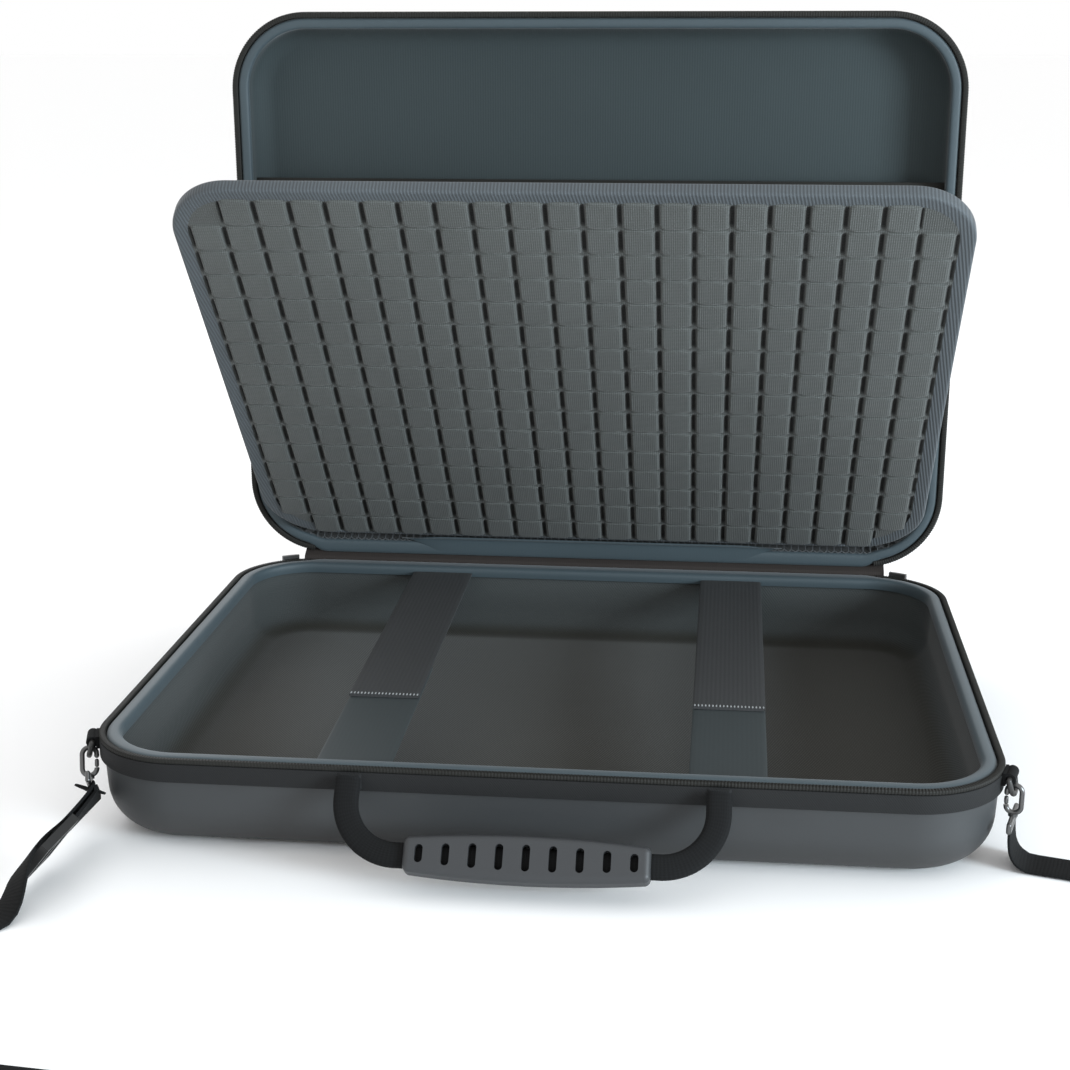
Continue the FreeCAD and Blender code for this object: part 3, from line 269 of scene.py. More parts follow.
def from_hinge(points):
    """Points given as (x, distance from the hinge, depth into the lid), placed on the open hinge."""
    return put(points * [1, -1, 1], LID_PLACE)


def from_divider(points):
    """Points of the divider's own frame, placed where it leans."""
    return put(points, DIVIDER_PLACE)


def from_handle(points):
    """Points of the handle's own frame, placed where it hangs."""
    return put(points, HANDLE_PLACE)


def as_is(points):
    """Points left where they are."""
    return points


def smooth_step(share):
    """Three times the share squared less twice its cube, held between 0 and 1."""
    share = np.clip(share, 0, 1)
    return share * share * (3 - 2 * share)


def signed_power(value, exponent):
    """The value's size raised to the exponent, with the value's own sign."""
    return np.sign(value) * np.abs(value) ** exponent


def unit(vectors):
    """Vectors divided by their own lengths."""
    return vectors / np.linalg.norm(vectors, axis=-1, keepdims=True)


def run_along(points):
    """Length along a line up to each of its points: the running sum of the steps between them."""
    return np.concatenate([[0], np.cumsum(np.linalg.norm(np.diff(points, axis=0), axis=1))])


def cloth(by_row, by_column):
    """Coordinates of a cloth on a grid: the first goes by its row, the second by its column."""
    return np.stack(np.broadcast_arrays(by_row[:, None], by_column[None]), -1)


def quads(rows, columns, wrap_rows):
    """Faces of a grid whose columns close on themselves, and whose rows may."""
    row, column = np.meshgrid(np.arange(rows if wrap_rows else rows - 1), np.arange(columns), indexing="ij")
    below = (row + 1) % rows
    beside = (column + 1) % columns
    row = row * columns
    below = below * columns
    return np.stack([row + column, below + column, below + beside, row + beside], -1).reshape(-1, 4)


def sheet_faces(index):
    """Faces of an open grid of point numbers, and the numbers that run round its border."""
    faces = np.stack([index[:-1, :-1], index[:-1, 1:], index[1:, 1:], index[1:, :-1]], -1).reshape(-1, 4)
    border = np.concatenate([index[0, :-1], index[:-1, -1], index[-1, :0:-1], index[:0:-1, 0]])
    return faces, border


def enclosed(points, faces):
    """Signed volume inside quads: the sum of each triangle's tetrahedron with the origin."""
    a, b, c, d = (points[faces[:, index]] for index in range(4))
    return np.sum(a * np.cross(b, c)) + np.sum(a * np.cross(c, d))


def make_object(name, points, faces, uv, finish, edge_angle=40):
    """An object from points in mm and a list of faces, shaded smooth up to the edge angle."""
    mesh = bpy.data.meshes.new(name)
    mesh.from_pydata((points * MM).tolist(), [], faces)
    layer = mesh.uv_layers.new(name="UVMap")
    corner = np.empty(len(mesh.loops), dtype=np.int32)
    mesh.loops.foreach_get("vertex_index", corner)
    layer.data.foreach_set("uv", uv[corner].astype(np.float32).ravel())
    mesh.shade_smooth()
    mesh.set_sharp_from_angle(angle=radians(edge_angle))
    mesh.materials.append(finish)
    thing = bpy.data.objects.new(name, mesh)
    bpy.context.scene.collection.objects.link(thing)
    return thing


def skin(name, grid, uv, finish, wrap_rows=False, edge_angle=40):
    """A closed surface from a grid of points (rows, columns, 3) whose columns close.

    Rows that stay open get a face at each end.
    """
    rows, columns = grid.shape[:2]
    points = grid.reshape(-1, 3)
    faces = quads(rows, columns, wrap_rows)
    middle = points.mean(axis=0)
    volume = enclosed(points - middle, faces)
    ends = []
    if not wrap_rows:
        first = np.arange(columns)
        last = (rows - 1) * columns + first[::-1]
        ends = [first, last]
        for end in ends:
            hub = np.full(columns - 2, end[0])
            fan = np.stack([hub, end[1:-1], end[2:], hub], -1)
            volume += enclosed(points - middle, fan)
    turn = 1 if volume > 0 else -1
    listed = faces[:, ::turn].tolist() + [end[::turn].tolist() for end in ends]
    return make_object(name, points, listed, uv.reshape(-1, 2), finish, edge_angle)


def rim_line(half_x, half_y, radii, step):
    """Points, outward normals and lengths round a rounded rectangle, clockwise from the middle of +Y."""
    corners = [(1, 1), (1, -1), (-1, -1), (-1, 1)]
    starts = [90, 0, -90, -180]
    points = [np.array([[0.0, half_y]])]
    normals = [np.array([[0.0, 1.0]])]
    for (sx, sy), start, radius in zip(corners, starts, radii):
        turn = np.radians(np.linspace(start, start - 90, 181))
        direction = np.stack([np.cos(turn), np.sin(turn)], -1)
        points.append([sx * (half_x - radius), sy * (half_y - radius)] + radius * direction)
        normals.append(direction)
    points.append(points[0])
    normals.append(normals[0])
    points = np.concatenate(points)
    normals = np.concatenate(normals)
    lengths = run_along(points)
    count = max(8, int(round(lengths[-1] / step)))
    return points, normals, lengths, count


def along_rim(line, where):
    """Positions and unit normals on a rim line at the given lengths."""
    points, normals, lengths = line[:3]
    place = np.stack([np.interp(where, lengths, points[:, axis]) for axis in range(2)], -1)
    normal = np.stack([np.interp(where, lengths, normals[:, axis]) for axis in range(2)], -1)
    return place, unit(normal)


def places_round(line):
    """Lengths of evenly spaced places all round a rim line."""
    return np.linspace(0, line[2][-1], line[3], endpoint=False)


RIM = rim_line(CASE_HALF_X, CASE_HALF_Y, [CORNER_RADIUS] * 4, RIM_STEP)


def rim_place(x):
    """Length along the rim, from the middle of the rear, of the place on the rear corner at this x."""
    straight = CASE_HALF_X - CORNER_RADIUS
    return straight + CORNER_RADIUS * asin((x - straight) / CORNER_RADIUS)


def round_rim(line, insets, heights, where):
    """Grid of points: each (inset, height) of a profile carried round the rim, moved in along its normal.

    Both may be grids too, with a value for each place round the rim.
    """
    place, normal = along_rim(line, where)
    insets = insets.reshape(len(insets), -1)
    heights = heights.reshape(len(heights), -1)
    flat = place[None] - normal[None] * insets[..., None]
    level = np.broadcast_to(heights, flat.shape[:2])
    return np.concatenate([flat, level[..., None]], -1)


def tray_profile(inset, low, high, radius):
    """Insets and heights of a drafted wall from the floor, over a rounded edge, up to the rim."""
    slope = np.arctan2(WALL_DRAFT, high - low)
    centre = inset + WALL_DRAFT + radius * (1 - np.sin(slope)) / np.cos(slope)
    floor = np.linspace(FLOOR_RING_INSET, centre, FLOOR_RINGS + 1)[:-1]
    turn = np.linspace(-pi / 2, -pi + slope, 15)
    round_inset = centre + radius * np.cos(turn)
    round_height = low + radius + radius * np.sin(turn)
    wall_height = np.linspace(round_height[-1], high, 9)[1:]
    wall_inset = inset + WALL_DRAFT * (high - wall_height) / (high - low)
    insets = np.concatenate([floor, round_inset, wall_inset])
    heights = np.concatenate([np.full(FLOOR_RINGS, low), round_height, wall_height])
    return insets, heights


def moulded_uv(line, where, insets, heights, edge_index):
    """Coordinates of a flat cloth pressed into a tray: plan position at the floor, run out up the walls."""
    place, normal = along_rim(line, where)
    run = run_along(np.stack([insets, heights], -1))
    run = run - run[edge_index]
    edge = place - normal * insets[edge_index]
    return edge[None] + normal[None] * run[:, None, None]


def dent(grid, normal):
    """Soft hollows pressed into the front wall beside the handle's anchors, each a bell of the distance."""
    shift = np.zeros(grid.shape[:2])
    for side in (-1, 1):
        across = (grid[..., 0] - side * (HANDLE_HALF_SPAN + DENT_ASIDE)) / DENT_REACH_X
        up = (grid[..., 2] - DENT_Z) / DENT_REACH_Z
        shift += np.exp(-across ** 2 - up ** 2)
    shift *= (grid[..., 1] < -CASE_HALF_Y + SHELL_THICKNESS)
    grid[..., :2] -= normal[None] * (DENT_DEPTH * shift)[..., None]
    return grid


def two_sided(name, outer, inner, finish, place, front_dent=False):
    """A tray with thickness: one profile up the outside, over the rim and down the inside."""
    insets = np.concatenate([outer[0], inner[0][::-1]])
    heights = np.concatenate([outer[1], inner[1][::-1]])
    where = places_round(RIM)
    grid = round_rim(RIM, insets, heights, where)
    if front_dent:
        grid = dent(grid, along_rim(RIM, where)[1])
    uv_outer = moulded_uv(RIM, where, outer[0], outer[1], FLOOR_RINGS)
    uv_inner = moulded_uv(RIM, where, inner[0], inner[1], FLOOR_RINGS)[::-1]
    uv = np.concatenate([uv_outer, uv_inner])
    return skin(name, place(grid), uv, finish, edge_angle=60)


def rim_band(name, profile, finish, place, start, step, ripple=None):
    """A closed profile of (inset, height) carried round the rim; ripple moves it by length along the rim."""
    total = RIM[2][-1]
    if start is None:
        where = np.linspace(0, total, int(total / step), endpoint=False)
    else:
        where = np.linspace(start, total - start, int((total - 2 * start) / step))
    profile = np.asarray(profile, dtype=float)
    insets = profile[:, :1]
    heights = profile[:, 1:]
    if ripple is not None:
        move_in, move_up = ripple(profile, where)
        insets = insets + move_in
        heights = heights + move_up
    grid = round_rim(RIM, insets, heights, where).transpose(1, 0, 2)
    uv = cloth(where, run_along(profile))
    return skin(name, place(grid), uv, finish, wrap_rows=start is None, edge_angle=50)


def rounded_box_profile(low_inset, high_inset, low, high, radius, steps=4):
    """A closed (inset, height) rectangle with rounded corners."""
    points = []
    for cx, cy, start in ((high_inset - radius, high - radius, 0), (low_inset + radius, high - radius, 90),
                          (low_inset + radius, low + radius, 180), (high_inset - radius, low + radius, 270)):
        for turn in np.radians(np.linspace(start, start + 90, steps)):
            points.append((cx + radius * cos(turn), cy + radius * sin(turn)))
    return points


# Finishes
def link(tree, source, target):
    """Joins two sockets."""
    tree.links.new(source, target)


def math_node(tree, operation, first, second=None):
    """A maths node on a socket or number; gives its result's socket."""
    node = tree.nodes.new("ShaderNodeMath")
    node.operation = operation
    for index, value in enumerate((first, second)):
        if value is None:
            continue
        if isinstance(value, (int, float)):
            node.inputs[index].default_value = value
        else:
            link(tree, value, node.inputs[index])
    return node.outputs[0]


def stripes(tree, coordinate, direction, pitch):
    """A sine of the distance along a direction, one wave per pitch, from -1 to 1."""
    node = tree.nodes.new("ShaderNodeVectorMath")
    node.operation = "DOT_PRODUCT"
    link(tree, coordinate, node.inputs[0])
    node.inputs[1].default_value = [part * tau / pitch for part in direction]
    return math_node(tree, "SINE", node.outputs["Value"])


def noise(tree, coordinate, scale, detail=3.0):
    """Soft noise from 0 to 1."""
    node = tree.nodes.new("ShaderNodeTexNoise")
    node.inputs["Scale"].default_value = scale
    node.inputs["Detail"].default_value = detail
    link(tree, coordinate, node.inputs["Vector"])
    return node.outputs["Fac"]


def mixed(tree, factor, first, second, blend="MIX"):
    """A colour from the first to the second, or to their product, as far as the factor says."""
    mix = tree.nodes.new("ShaderNodeMix")
    mix.data_type = "RGBA"
    mix.blend_type = blend
    mix.clamp_factor = True
    link(tree, factor, mix.inputs["Factor"])
    for name, colour in (("A", first), ("B", second)):
        if isinstance(colour, tuple):
            mix.inputs[name].default_value = (*colour, 1.0)
        else:
            link(tree, colour, mix.inputs[name])
    return mix.outputs["Result"]


FINE_GRAIN = 900.0
BROAD_GRAIN = 14.0
BUMP_DISTANCE = 0.3
SHEEN_ROUGHNESS = 0.4


def finish(name, dark, light, rough, waves=(), mottling=0.25, bump=0.3, sheen=0.0, metal=0.0,
           grain=FINE_GRAIN, use_object=False, specular=0.5, shade=None):
    """A procedural finish: colour from dark to light by waves and mottling, with a bump of the same height.

    Each wave is (direction, pitch in mm, share); the height is their sum plus fine noise.
    """
    made = bpy.data.materials.new(name)
    made.use_nodes = True
    tree = made.node_tree
    shader = tree.nodes["Principled BSDF"]
    place = tree.nodes.new("ShaderNodeTexCoord")
    weave_place = place.outputs["Object"] if use_object else place.outputs["UV"]
    height = None
    for direction, pitch, share in waves:
        size = pitch * MM if use_object else pitch
        wave = math_node(tree, "MULTIPLY", stripes(tree, weave_place, direction, size), share)
        height = wave if height is None else math_node(tree, "ADD", height, wave)
    fine = math_node(tree, "SUBTRACT", noise(tree, place.outputs["Object"], grain), 0.5)
    fine = math_node(tree, "MULTIPLY", fine, mottling)
    height = fine if height is None else math_node(tree, "ADD", height, fine)
    broad = math_node(tree, "SUBTRACT", noise(tree, place.outputs["Object"], BROAD_GRAIN, 2.0), 0.5)
    factor = math_node(tree, "ADD", math_node(tree, "MULTIPLY", height, 0.5), 0.5)
    factor = math_node(tree, "ADD", factor, math_node(tree, "MULTIPLY", broad, 0.5))
    colour = mixed(tree, factor, dark, light)
    if shade is not None:
        colour = shade(tree, place, colour)
    link(tree, colour, shader.inputs["Base Color"])
    shader.inputs["Roughness"].default_value = rough
    shader.inputs["Metallic"].default_value = metal
    shader.inputs["Specular IOR Level"].default_value = specular
    shader.inputs["Sheen Weight"].default_value = sheen
    shader.inputs["Sheen Roughness"].default_value = SHEEN_ROUGHNESS
    raised = tree.nodes.new("ShaderNodeBump")
    raised.inputs["Strength"].default_value = bump
    raised.inputs["Distance"].default_value = BUMP_DISTANCE * MM
    link(tree, height, raised.inputs["Height"])
    link(tree, raised.outputs["Normal"], shader.inputs["Normal"])
    return made


def hollows(colour_share):
    """A painted shade in the grooves: darkens the colour to a share of itself where the mesh's hollow
    attribute is one.
    """
    def shade(tree, place, colour):
        """The colour darkened by painted shade: multiplied by the share, as far as the attribute says; the
        place isn't needed.
        """
        stored = tree.nodes.new("ShaderNodeAttribute")
        stored.attribute_name = "hollow"
        return mixed(tree, stored.outputs["Fac"], colour, colour_share, "MULTIPLY")
    return shade


def painted_shade_below(low_colour, start, end):
    """A painted shade: the colour is multiplied by a darker low colour below a height, softly between start
    and end (in mm).
    """
    def shade(tree, place, colour):
        """The colour darkened by painted shade: multiplied by the low colour, as far as the place lies below
        the end height.
        """
        split = tree.nodes.new("ShaderNodeSeparateXYZ")
        link(tree, place.outputs["Object"], split.inputs[0])
        ramp = tree.nodes.new("ShaderNodeMapRange")
        ramp.interpolation_type = "SMOOTHSTEP"
        ramp.inputs["From Min"].default_value = start * MM
        ramp.inputs["From Max"].default_value = end * MM
        link(tree, split.outputs["Z"], ramp.inputs["Value"])
        below = math_node(tree, "SUBTRACT", 1.0, ramp.outputs["Result"])
        return mixed(tree, below, colour, low_colour, "MULTIPLY")
    return shade


# Painted shade: the shell turns darker and warmer towards the bottom.
SHELL = finish("shell", (0.0265, 0.0300, 0.0318), (0.0353, 0.0380, 0.0407), 0.55,
               mottling=0.5, bump=0.12, grain=1500.0, shade=painted_shade_below((0.98, 0.90, 0.85), 2.0, 26.0))
# The lining's floor turns darker and browner below the walls: partly the cloth's own tone, partly painted
# warm shade.
LINING = finish("lining", (0.0337, 0.0392, 0.0393), (0.0514, 0.0568, 0.0566), 0.85,
                waves=[((0.8, 0.6, 0), 1.3, 0.35), ((0.6, -0.8, 0), 1.3, 0.2)],
                bump=0.4, sheen=0.25, specular=0.35, shade=painted_shade_below((0.60, 0.52, 0.41), 6.5, 13.0))
# Painted shade: the lid lining darkens low by the hinge, as a shadow in the fold.
LID_LINING = finish("lid_lining", (0.0214, 0.0316, 0.0340), (0.0318, 0.0462, 0.0494), 0.85,
                    waves=[((1, 0, 0), 1.5, 0.3)], bump=0.3, sheen=0.25,
                    shade=painted_shade_below((0.35, 0.32, 0.32), 60.0, 68.0))
# The lip's dark grey is the cloth's own; its blue tint is painted bluish light.
LIP = finish("lip", (0.0346, 0.0508, 0.0594), (0.0475, 0.0713, 0.0842), 0.6,
             waves=[((1, 0, 0), 0.9, 0.2)], bump=0.15, sheen=0.2)
TAPE = finish("tape", (0.0101, 0.0101, 0.0114), (0.0191, 0.0204, 0.0204), 0.75,
              waves=[((0.8, 0.6, 0), 0.9, 0.4)], bump=0.3, specular=0.2)
TEETH = finish("teeth", (0.010, 0.010, 0.009), (0.030, 0.030, 0.028), 0.5, bump=0.05, specular=0.12)
# Painted shade in the grooves: the hollow attribute darkens the pads there to a tenth of their colour.
PADS = finish("pads", (0.0479, 0.0517, 0.0498), (0.0978, 0.1062, 0.1025), 0.9,
              waves=[((1, 0, 0), 1.1, 0.42), ((0, 1, 0), 1.1, 0.42)], mottling=0.8, bump=0.5, sheen=0.15,
              shade=hollows((0.10, 0.10, 0.10)))
BINDING = finish("binding", (0.0378, 0.0441, 0.0495), (0.0855, 0.1008, 0.1116), 0.8,
                 waves=[((0.985, 0.17, 0), 1.7, 0.6)], bump=0.5, sheen=0.1)
BACK = finish("back", (0.028, 0.031, 0.034), (0.039, 0.043, 0.046), 0.9,
              waves=[((1, 0, 0), 1.0, 0.3)], bump=0.3)
NET = finish("net", (0.042, 0.046, 0.049), (0.084, 0.091, 0.095), 0.7, bump=0.1)
ELASTIC_REAR = finish("elastic_rear", (0.025, 0.026, 0.027), (0.048, 0.050, 0.052), 0.75,
                      waves=[((1, 0, 0), 2.3, 0.22), ((0, 1, 0), 0.9, 0.2)], bump=0.3)
ELASTIC_FRONT = finish("elastic_front", (0.032, 0.039, 0.041), (0.046, 0.056, 0.059), 0.6,
                       waves=[((1, 0, 0), 2.3, 0.15), ((0, 1, 0), 0.8, 0.1)], bump=0.15)
STITCH = finish("stitch", (0.30, 0.32, 0.33), (0.42, 0.44, 0.45), 0.7, bump=0.1)
WEBBING = finish("webbing", (0.0052, 0.0052, 0.0052), (0.0123, 0.0131, 0.0140), 0.85,
                 waves=[((0, 1, 0), 1.7, 0.22), ((1, 0, 0), 1.1, 0.2)], bump=0.35, specular=0.12)
GRIP = finish("grip", (0.0273, 0.0291, 0.0320), (0.0367, 0.0395, 0.0423), 0.5,
              mottling=0.4, bump=0.1, use_object=True)
METAL = finish("metal", (0.10, 0.10, 0.10), (0.16, 0.16, 0.16), 0.3, metal=0.9, bump=0.03, use_object=True)
FITTING = finish("fitting", (0.016, 0.016, 0.016), (0.032, 0.031, 0.030), 0.4, bump=0.05, use_object=True)
PULLER = finish("puller", (0.045, 0.040, 0.038), (0.085, 0.078, 0.074), 0.4, bump=0.05, use_object=True)
TAB = finish("tab", (0.022, 0.019, 0.018), (0.036, 0.032, 0.030), 0.8,
             waves=[((1, 0, 0), 1.2, 0.3)], bump=0.3, use_object=True)
SPINE = finish("spine", (0.021, 0.017, 0.015), (0.039, 0.032, 0.029), 0.85,
               waves=[((1, 0, 0), 1.2, 0.3), ((0, 1, 0), 1.2, 0.2)], bump=0.3, specular=0.3)


# Shells, linings and rims
def half(height, edge_radius, place, body, prefix, lining_finish, lip_width, lip_recess,
         rear_narrowing, rim_start):
    """The tray, lining, lip, tape and teeth of one half."""
    rim = height - RIM_STACK
    outer = tray_profile(TAPE_THICKNESS, 0.0, rim, edge_radius)
    inner_radius = edge_radius - SHELL_THICKNESS
    hidden = tray_profile(SHELL_INSET - SKIN_GAP, SHELL_THICKNESS - SKIN_GAP, rim, inner_radius)
    behind = tray_profile(SHELL_INSET, SHELL_THICKNESS, rim, inner_radius)
    inner = tray_profile(LINING_INSET, LINING_FLOOR, rim, edge_radius - LINING_FLOOR)
    shell = two_sided(prefix + "_shell_skin", outer, hidden, SHELL, place, front_dent=prefix == "base")
    lining = two_sided(prefix + "_lining_skin", behind, inner, lining_finish, place)
    teeth_low = height - HALF_GAP - TEETH_HEIGHT
    tape_low = teeth_low - TAPE_BAND
    tape_profile = rounded_box_profile(0.0, TAPE_THICKNESS + TAPE_TUCK, tape_low, teeth_low, TAPE_ROUND)
    tape = rim_band(prefix + "_tape_band", tape_profile, TAPE, place, rim_start, RIM_STEP)
    teeth_high = height - HALF_GAP - TEETH_TOP_GAP
    teeth_profile = rounded_box_profile(TEETH_INSET, TEETH_WIDTH, teeth_low, teeth_high, TEETH_ROUND, 3)

    def ripple(profile, where):
        """A clipped sine along the rim that moves the outer and the upper faces outwards, tooth by tooth."""
        wave = np.clip(TEETH_STEEPNESS * np.sin(where * tau / TEETH_PITCH), -1, 1)
        outside = (profile[:, 0] < TEETH_WIDTH / 2)[:, None]
        above = (profile[:, 1] > teeth_low + TEETH_HEIGHT / 2)[:, None]
        return -TEETH_RIPPLE * outside * wave[None], TEETH_RIPPLE * above * wave[None]

    teeth = rim_band(prefix + "_teeth_row", teeth_profile, TEETH, place, rim_start, TEETH_PITCH / 4, ripple)
    lip_low = TEETH_WIDTH + LIP_GAP
    lip_high = TEETH_WIDTH + lip_width
    top = height - lip_recess
    turn = np.radians(np.linspace(0, 180, 17))
    middle = (lip_low + lip_high) / 2
    reach = (lip_high - lip_low) / 2
    lip_profile = [(middle + reach * signed_power(cos(t), LIP_SQUARENESS),
                    rim + (top - rim) * sin(t) ** LIP_SQUARENESS) for t in turn]
    lip_profile += [(lip_low, rim), (middle, rim - LIP_UNDER), (lip_high - LIP_FOOT, rim - LIP_LAP)]

    def rear_reach(profile, where):
        """Moves the lip's upper outer part and its inner side outwards, by a smooth step towards the rear."""
        near = np.minimum(where, RIM[2][-1] - where)
        rear = smooth_step((rim_place(SPINE_HALF) - near) / LIP_TURN)
        outer = (lip_high - profile[:, 0]) / (lip_high - lip_low)
        upper = np.clip(LIP_REAR_RISE * (profile[:, 1] - rim) / (top - rim), 0, 1)
        move = -LIP_REAR_OUT * (outer * upper)[:, None] - rear_narrowing * (1 - outer)[:, None]
        return move * rear[None], 0.0

    lip = rim_band(prefix + "_lip_roll", lip_profile, LIP, place, None, RIM_STEP, rear_reach)
    for thing, node in ((shell, "_shell"), (lining, "_lining"), (tape, "_zip_tape"), (teeth, "_zip_teeth"),
                        (lip, "_rim_lip")):
        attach(thing, body)
        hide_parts(prefix + node)


half(BASE_HEIGHT, BASE_EDGE_RADIUS, as_is, "case", "base", LINING, BASE_LIP_WIDTH, BASE_LIP_RECESS, 0.0,
     rim_place(HINGE_TAB_END))
half(LID_HEIGHT, LID_EDGE_RADIUS, from_tray, "lid", "lid", LID_LINING, LID_LIP_WIDTH, LID_LIP_RECESS,
     LID_LIP_NARROWING, rim_place(LID_TAPE_END))


# Hinge strip
def smooth_line(points, step):
    """A Catmull-Rom curve through points, sampled about every step."""
    points = np.asarray(points, dtype=float)
    padded = np.concatenate([2 * points[:1] - points[1:2], points, 2 * points[-1:] - points[-2:-1]])
    pieces = []
    for index in range(len(points) - 1):
        a, b, c, d = padded[index:index + 4]
        count = max(2, int(np.linalg.norm(c - b) / step))
        t = np.linspace(0, 1, count, endpoint=False)[:, None]
        pieces.append(0.5 * (2 * b + (c - a) * t + (2 * a - 5 * b + 4 * c - d) * t ** 2
                             + (3 * b - a - 3 * c + d) * t ** 3))
    return np.concatenate(pieces + [points[-1:]])


def thick_line(line, thickness):
    """A closed outline round a line: the line moved half the thickness each way along its normal."""
    along = unit(np.gradient(line, axis=0))
    normal = np.stack([-along[:, 1], along[:, 0]], -1)
    return np.concatenate([line + normal * thickness / 2, (line - normal * thickness / 2)[::-1]])


def extruded(name, outline, x_positions, finish_used, place):
    """A closed (y, z) outline carried along X."""
    x = np.asarray(x_positions, dtype=float)
    grid = np.empty((len(x), len(outline), 3))
    grid[..., 0] = x[:, None]
    grid[..., 1:] = outline[None]
    return skin(name, place(grid), cloth(x, run_along(outline)), finish_used, edge_angle=45)


lid_line = [(y, -z) for y, z in SPINE_POINTS[::-1]]
turn_cos = cos(radians(-LID_OPEN_ANGLE))
turn_sin = sin(radians(-LID_OPEN_ANGLE))
lid_line = [(y * turn_cos - z * turn_sin, y * turn_sin + z * turn_cos) for y, z in lid_line]
spine_line = smooth_line(SPINE_POINTS + lid_line[1:], SPINE_STEP) + [HINGE_Y, BASE_HEIGHT]
spine_xs = np.linspace(-SPINE_HALF, SPINE_HALF, 60)
spine = extruded("spine_strip", thick_line(spine_line, SPINE_THICKNESS), spine_xs, SPINE, as_is)
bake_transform(spine)
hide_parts("spine_base", "spine_lid")


# Divider
def inside_outline(x, y, half_x, low, high, low_radius, high_radius):
    """Points pulled back onto a rounded outline where they lie outside its corners."""
    x = np.clip(x, -half_x, half_x)
    y = np.clip(y, low, high)
    radius = np.where(y > (low + high) / 2, high_radius, low_radius)
    cx = np.sign(x) * (half_x - radius)
    cy = np.where(y > (low + high) / 2, high - radius, low + radius)
    out_x = np.sign(x) * (x - cx) > 0
    out_y = np.where(y > (low + high) / 2, y - cy > 0, y - cy < 0)
    distance = np.hypot(x - cx, y - cy)
    pull = out_x & out_y & (distance > radius)
    share = np.where(pull, radius / np.maximum(distance, 1e-6), 1.0)
    return cx + (x - cx) * share, cy + (y - cy) * share


def pad_height(x, y):
    """Height over the pads' own plane: minus the deepest of the groove up the panel, the groove across it
    and the rounded corner, each a smooth step down; the deep grooves rise where the shallow ones cross."""
    column = x / PAD_PITCH + PAD_COLUMNS / 2
    row = (y - PAD_FIRST_Y) / PAD_PITCH
    offset = (column - np.floor(column) - 0.5) * PAD_PITCH
    across = np.abs(offset)
    side_slope = np.where(offset > 0, PAD_RIGHT_SLOPE, PAD_LEFT_SLOPE)
    up = np.abs((row - np.floor(row) - 0.5) * PAD_PITCH)
    half_across = PAD_PITCH / 2 - PAD_SIDE_GAP
    half_up = PAD_PITCH / 2 - PAD_END_GAP
    from_side = half_across - across
    from_end = half_up - up
    out_across = np.maximum(across - half_across + PAD_CORNER, 0)
    out_up = np.maximum(up - half_up + PAD_CORNER, 0)
    near_corner = (out_across > 0) & (out_up > 0)
    from_corner = np.where(near_corner, PAD_CORNER - np.hypot(out_across, out_up), PAD_PITCH)
    deepening = smooth_step(from_end / PAD_RISE)
    side_depth = PAD_CROSSING + (PAD_GROOVE_DEPTH - PAD_CROSSING) * deepening
    carved = np.maximum(side_depth * (1 - smooth_step(from_side / side_slope)),
                        PAD_END_DEPTH * (1 - smooth_step(from_end / PAD_END_SLOPE)))
    carved = np.maximum(carved, PAD_CROSSING * (1 - smooth_step(from_corner / side_slope)))
    cell_column = np.clip(np.floor(column), 0, PAD_COLUMNS - 1)
    cell_row = np.clip(np.floor(row), 0, PAD_ROWS - 1)
    outer_column = (cell_column == 0) | (cell_column == PAD_COLUMNS - 1)
    corner = outer_column & ((cell_row == 0) | (cell_row == PAD_ROWS - 1))
    outside = (column < 0) | (column > PAD_COLUMNS) | (row < 0) | (row > PAD_ROWS)
    return -PAD_TOP_DROP - np.where(corner | outside, PAD_CROSSING, carved)


def divider_front():
    """The woven front: the pads' height over the panel, folded under at its outline, with a flat back."""
    columns, rows = (np.append(np.add.outer(np.arange(count), PAD_GRID_SHARES).ravel(), count)
                     for count in (PAD_COLUMNS, PAD_ROWS))
    x = (columns - PAD_COLUMNS / 2) * PAD_PITCH
    y = PAD_FIRST_Y + rows * PAD_PITCH
    x = np.concatenate([[x[0] - FRONT_MARGIN_X], x, [x[-1] + FRONT_MARGIN_X]])
    y = np.concatenate([[y[0] - FRONT_MARGIN_Y], y, [y[-1] + FRONT_MARGIN_Y]])
    gx, gy = np.meshgrid(x, y)
    z = pad_height(gx, gy)
    px, py = inside_outline(gx, gy, DIVIDER_HALF_X - BINDING_WIDTH / 2, DIVIDER_LOW + FRONT_LOW_GAP,
                            DIVIDER_HIGH - BINDING_WIDTH / 2, DIVIDER_LOW_RADIUS - BINDING_WIDTH / 2,
                            DIVIDER_HIGH_RADIUS - BINDING_WIDTH / 2)
    top = np.stack([px, py, z], -1)
    count_y, count_x = z.shape
    points = top.reshape(-1, 3)
    index = np.arange(count_y * count_x).reshape(count_y, count_x)
    faces, border = sheet_faces(index)
    below = points[border] * [1, 1, 0] + [0, 0, -PAD_HEIGHT - FRONT_UNDER]
    first = len(points)
    ring = first + np.arange(len(border))
    side = np.stack([border, ring, np.roll(ring, -1), np.roll(border, -1)], -1)
    everything = np.concatenate([points, below])
    listed = faces.tolist() + side.tolist() + [ring[::-1].tolist()]
    uv = everything[:, :2]
    thing = make_object("divider_front", from_divider(everything), listed, uv, PADS, 80)
    # Painted shade: a share from 0 to 1 of how deep each point lies in a groove, stored to darken the
    # grooves' colour.
    hollow = np.clip((-everything[:, 2] - PAD_TOP_DROP - PAD_END_DEPTH) / PAD_HOLLOW_REACH, 0, 1)
    stored = thing.data.attributes.new("hollow", "FLOAT", "POINT")
    stored.data.foreach_set("value", hollow.astype(np.float32))
    return thing


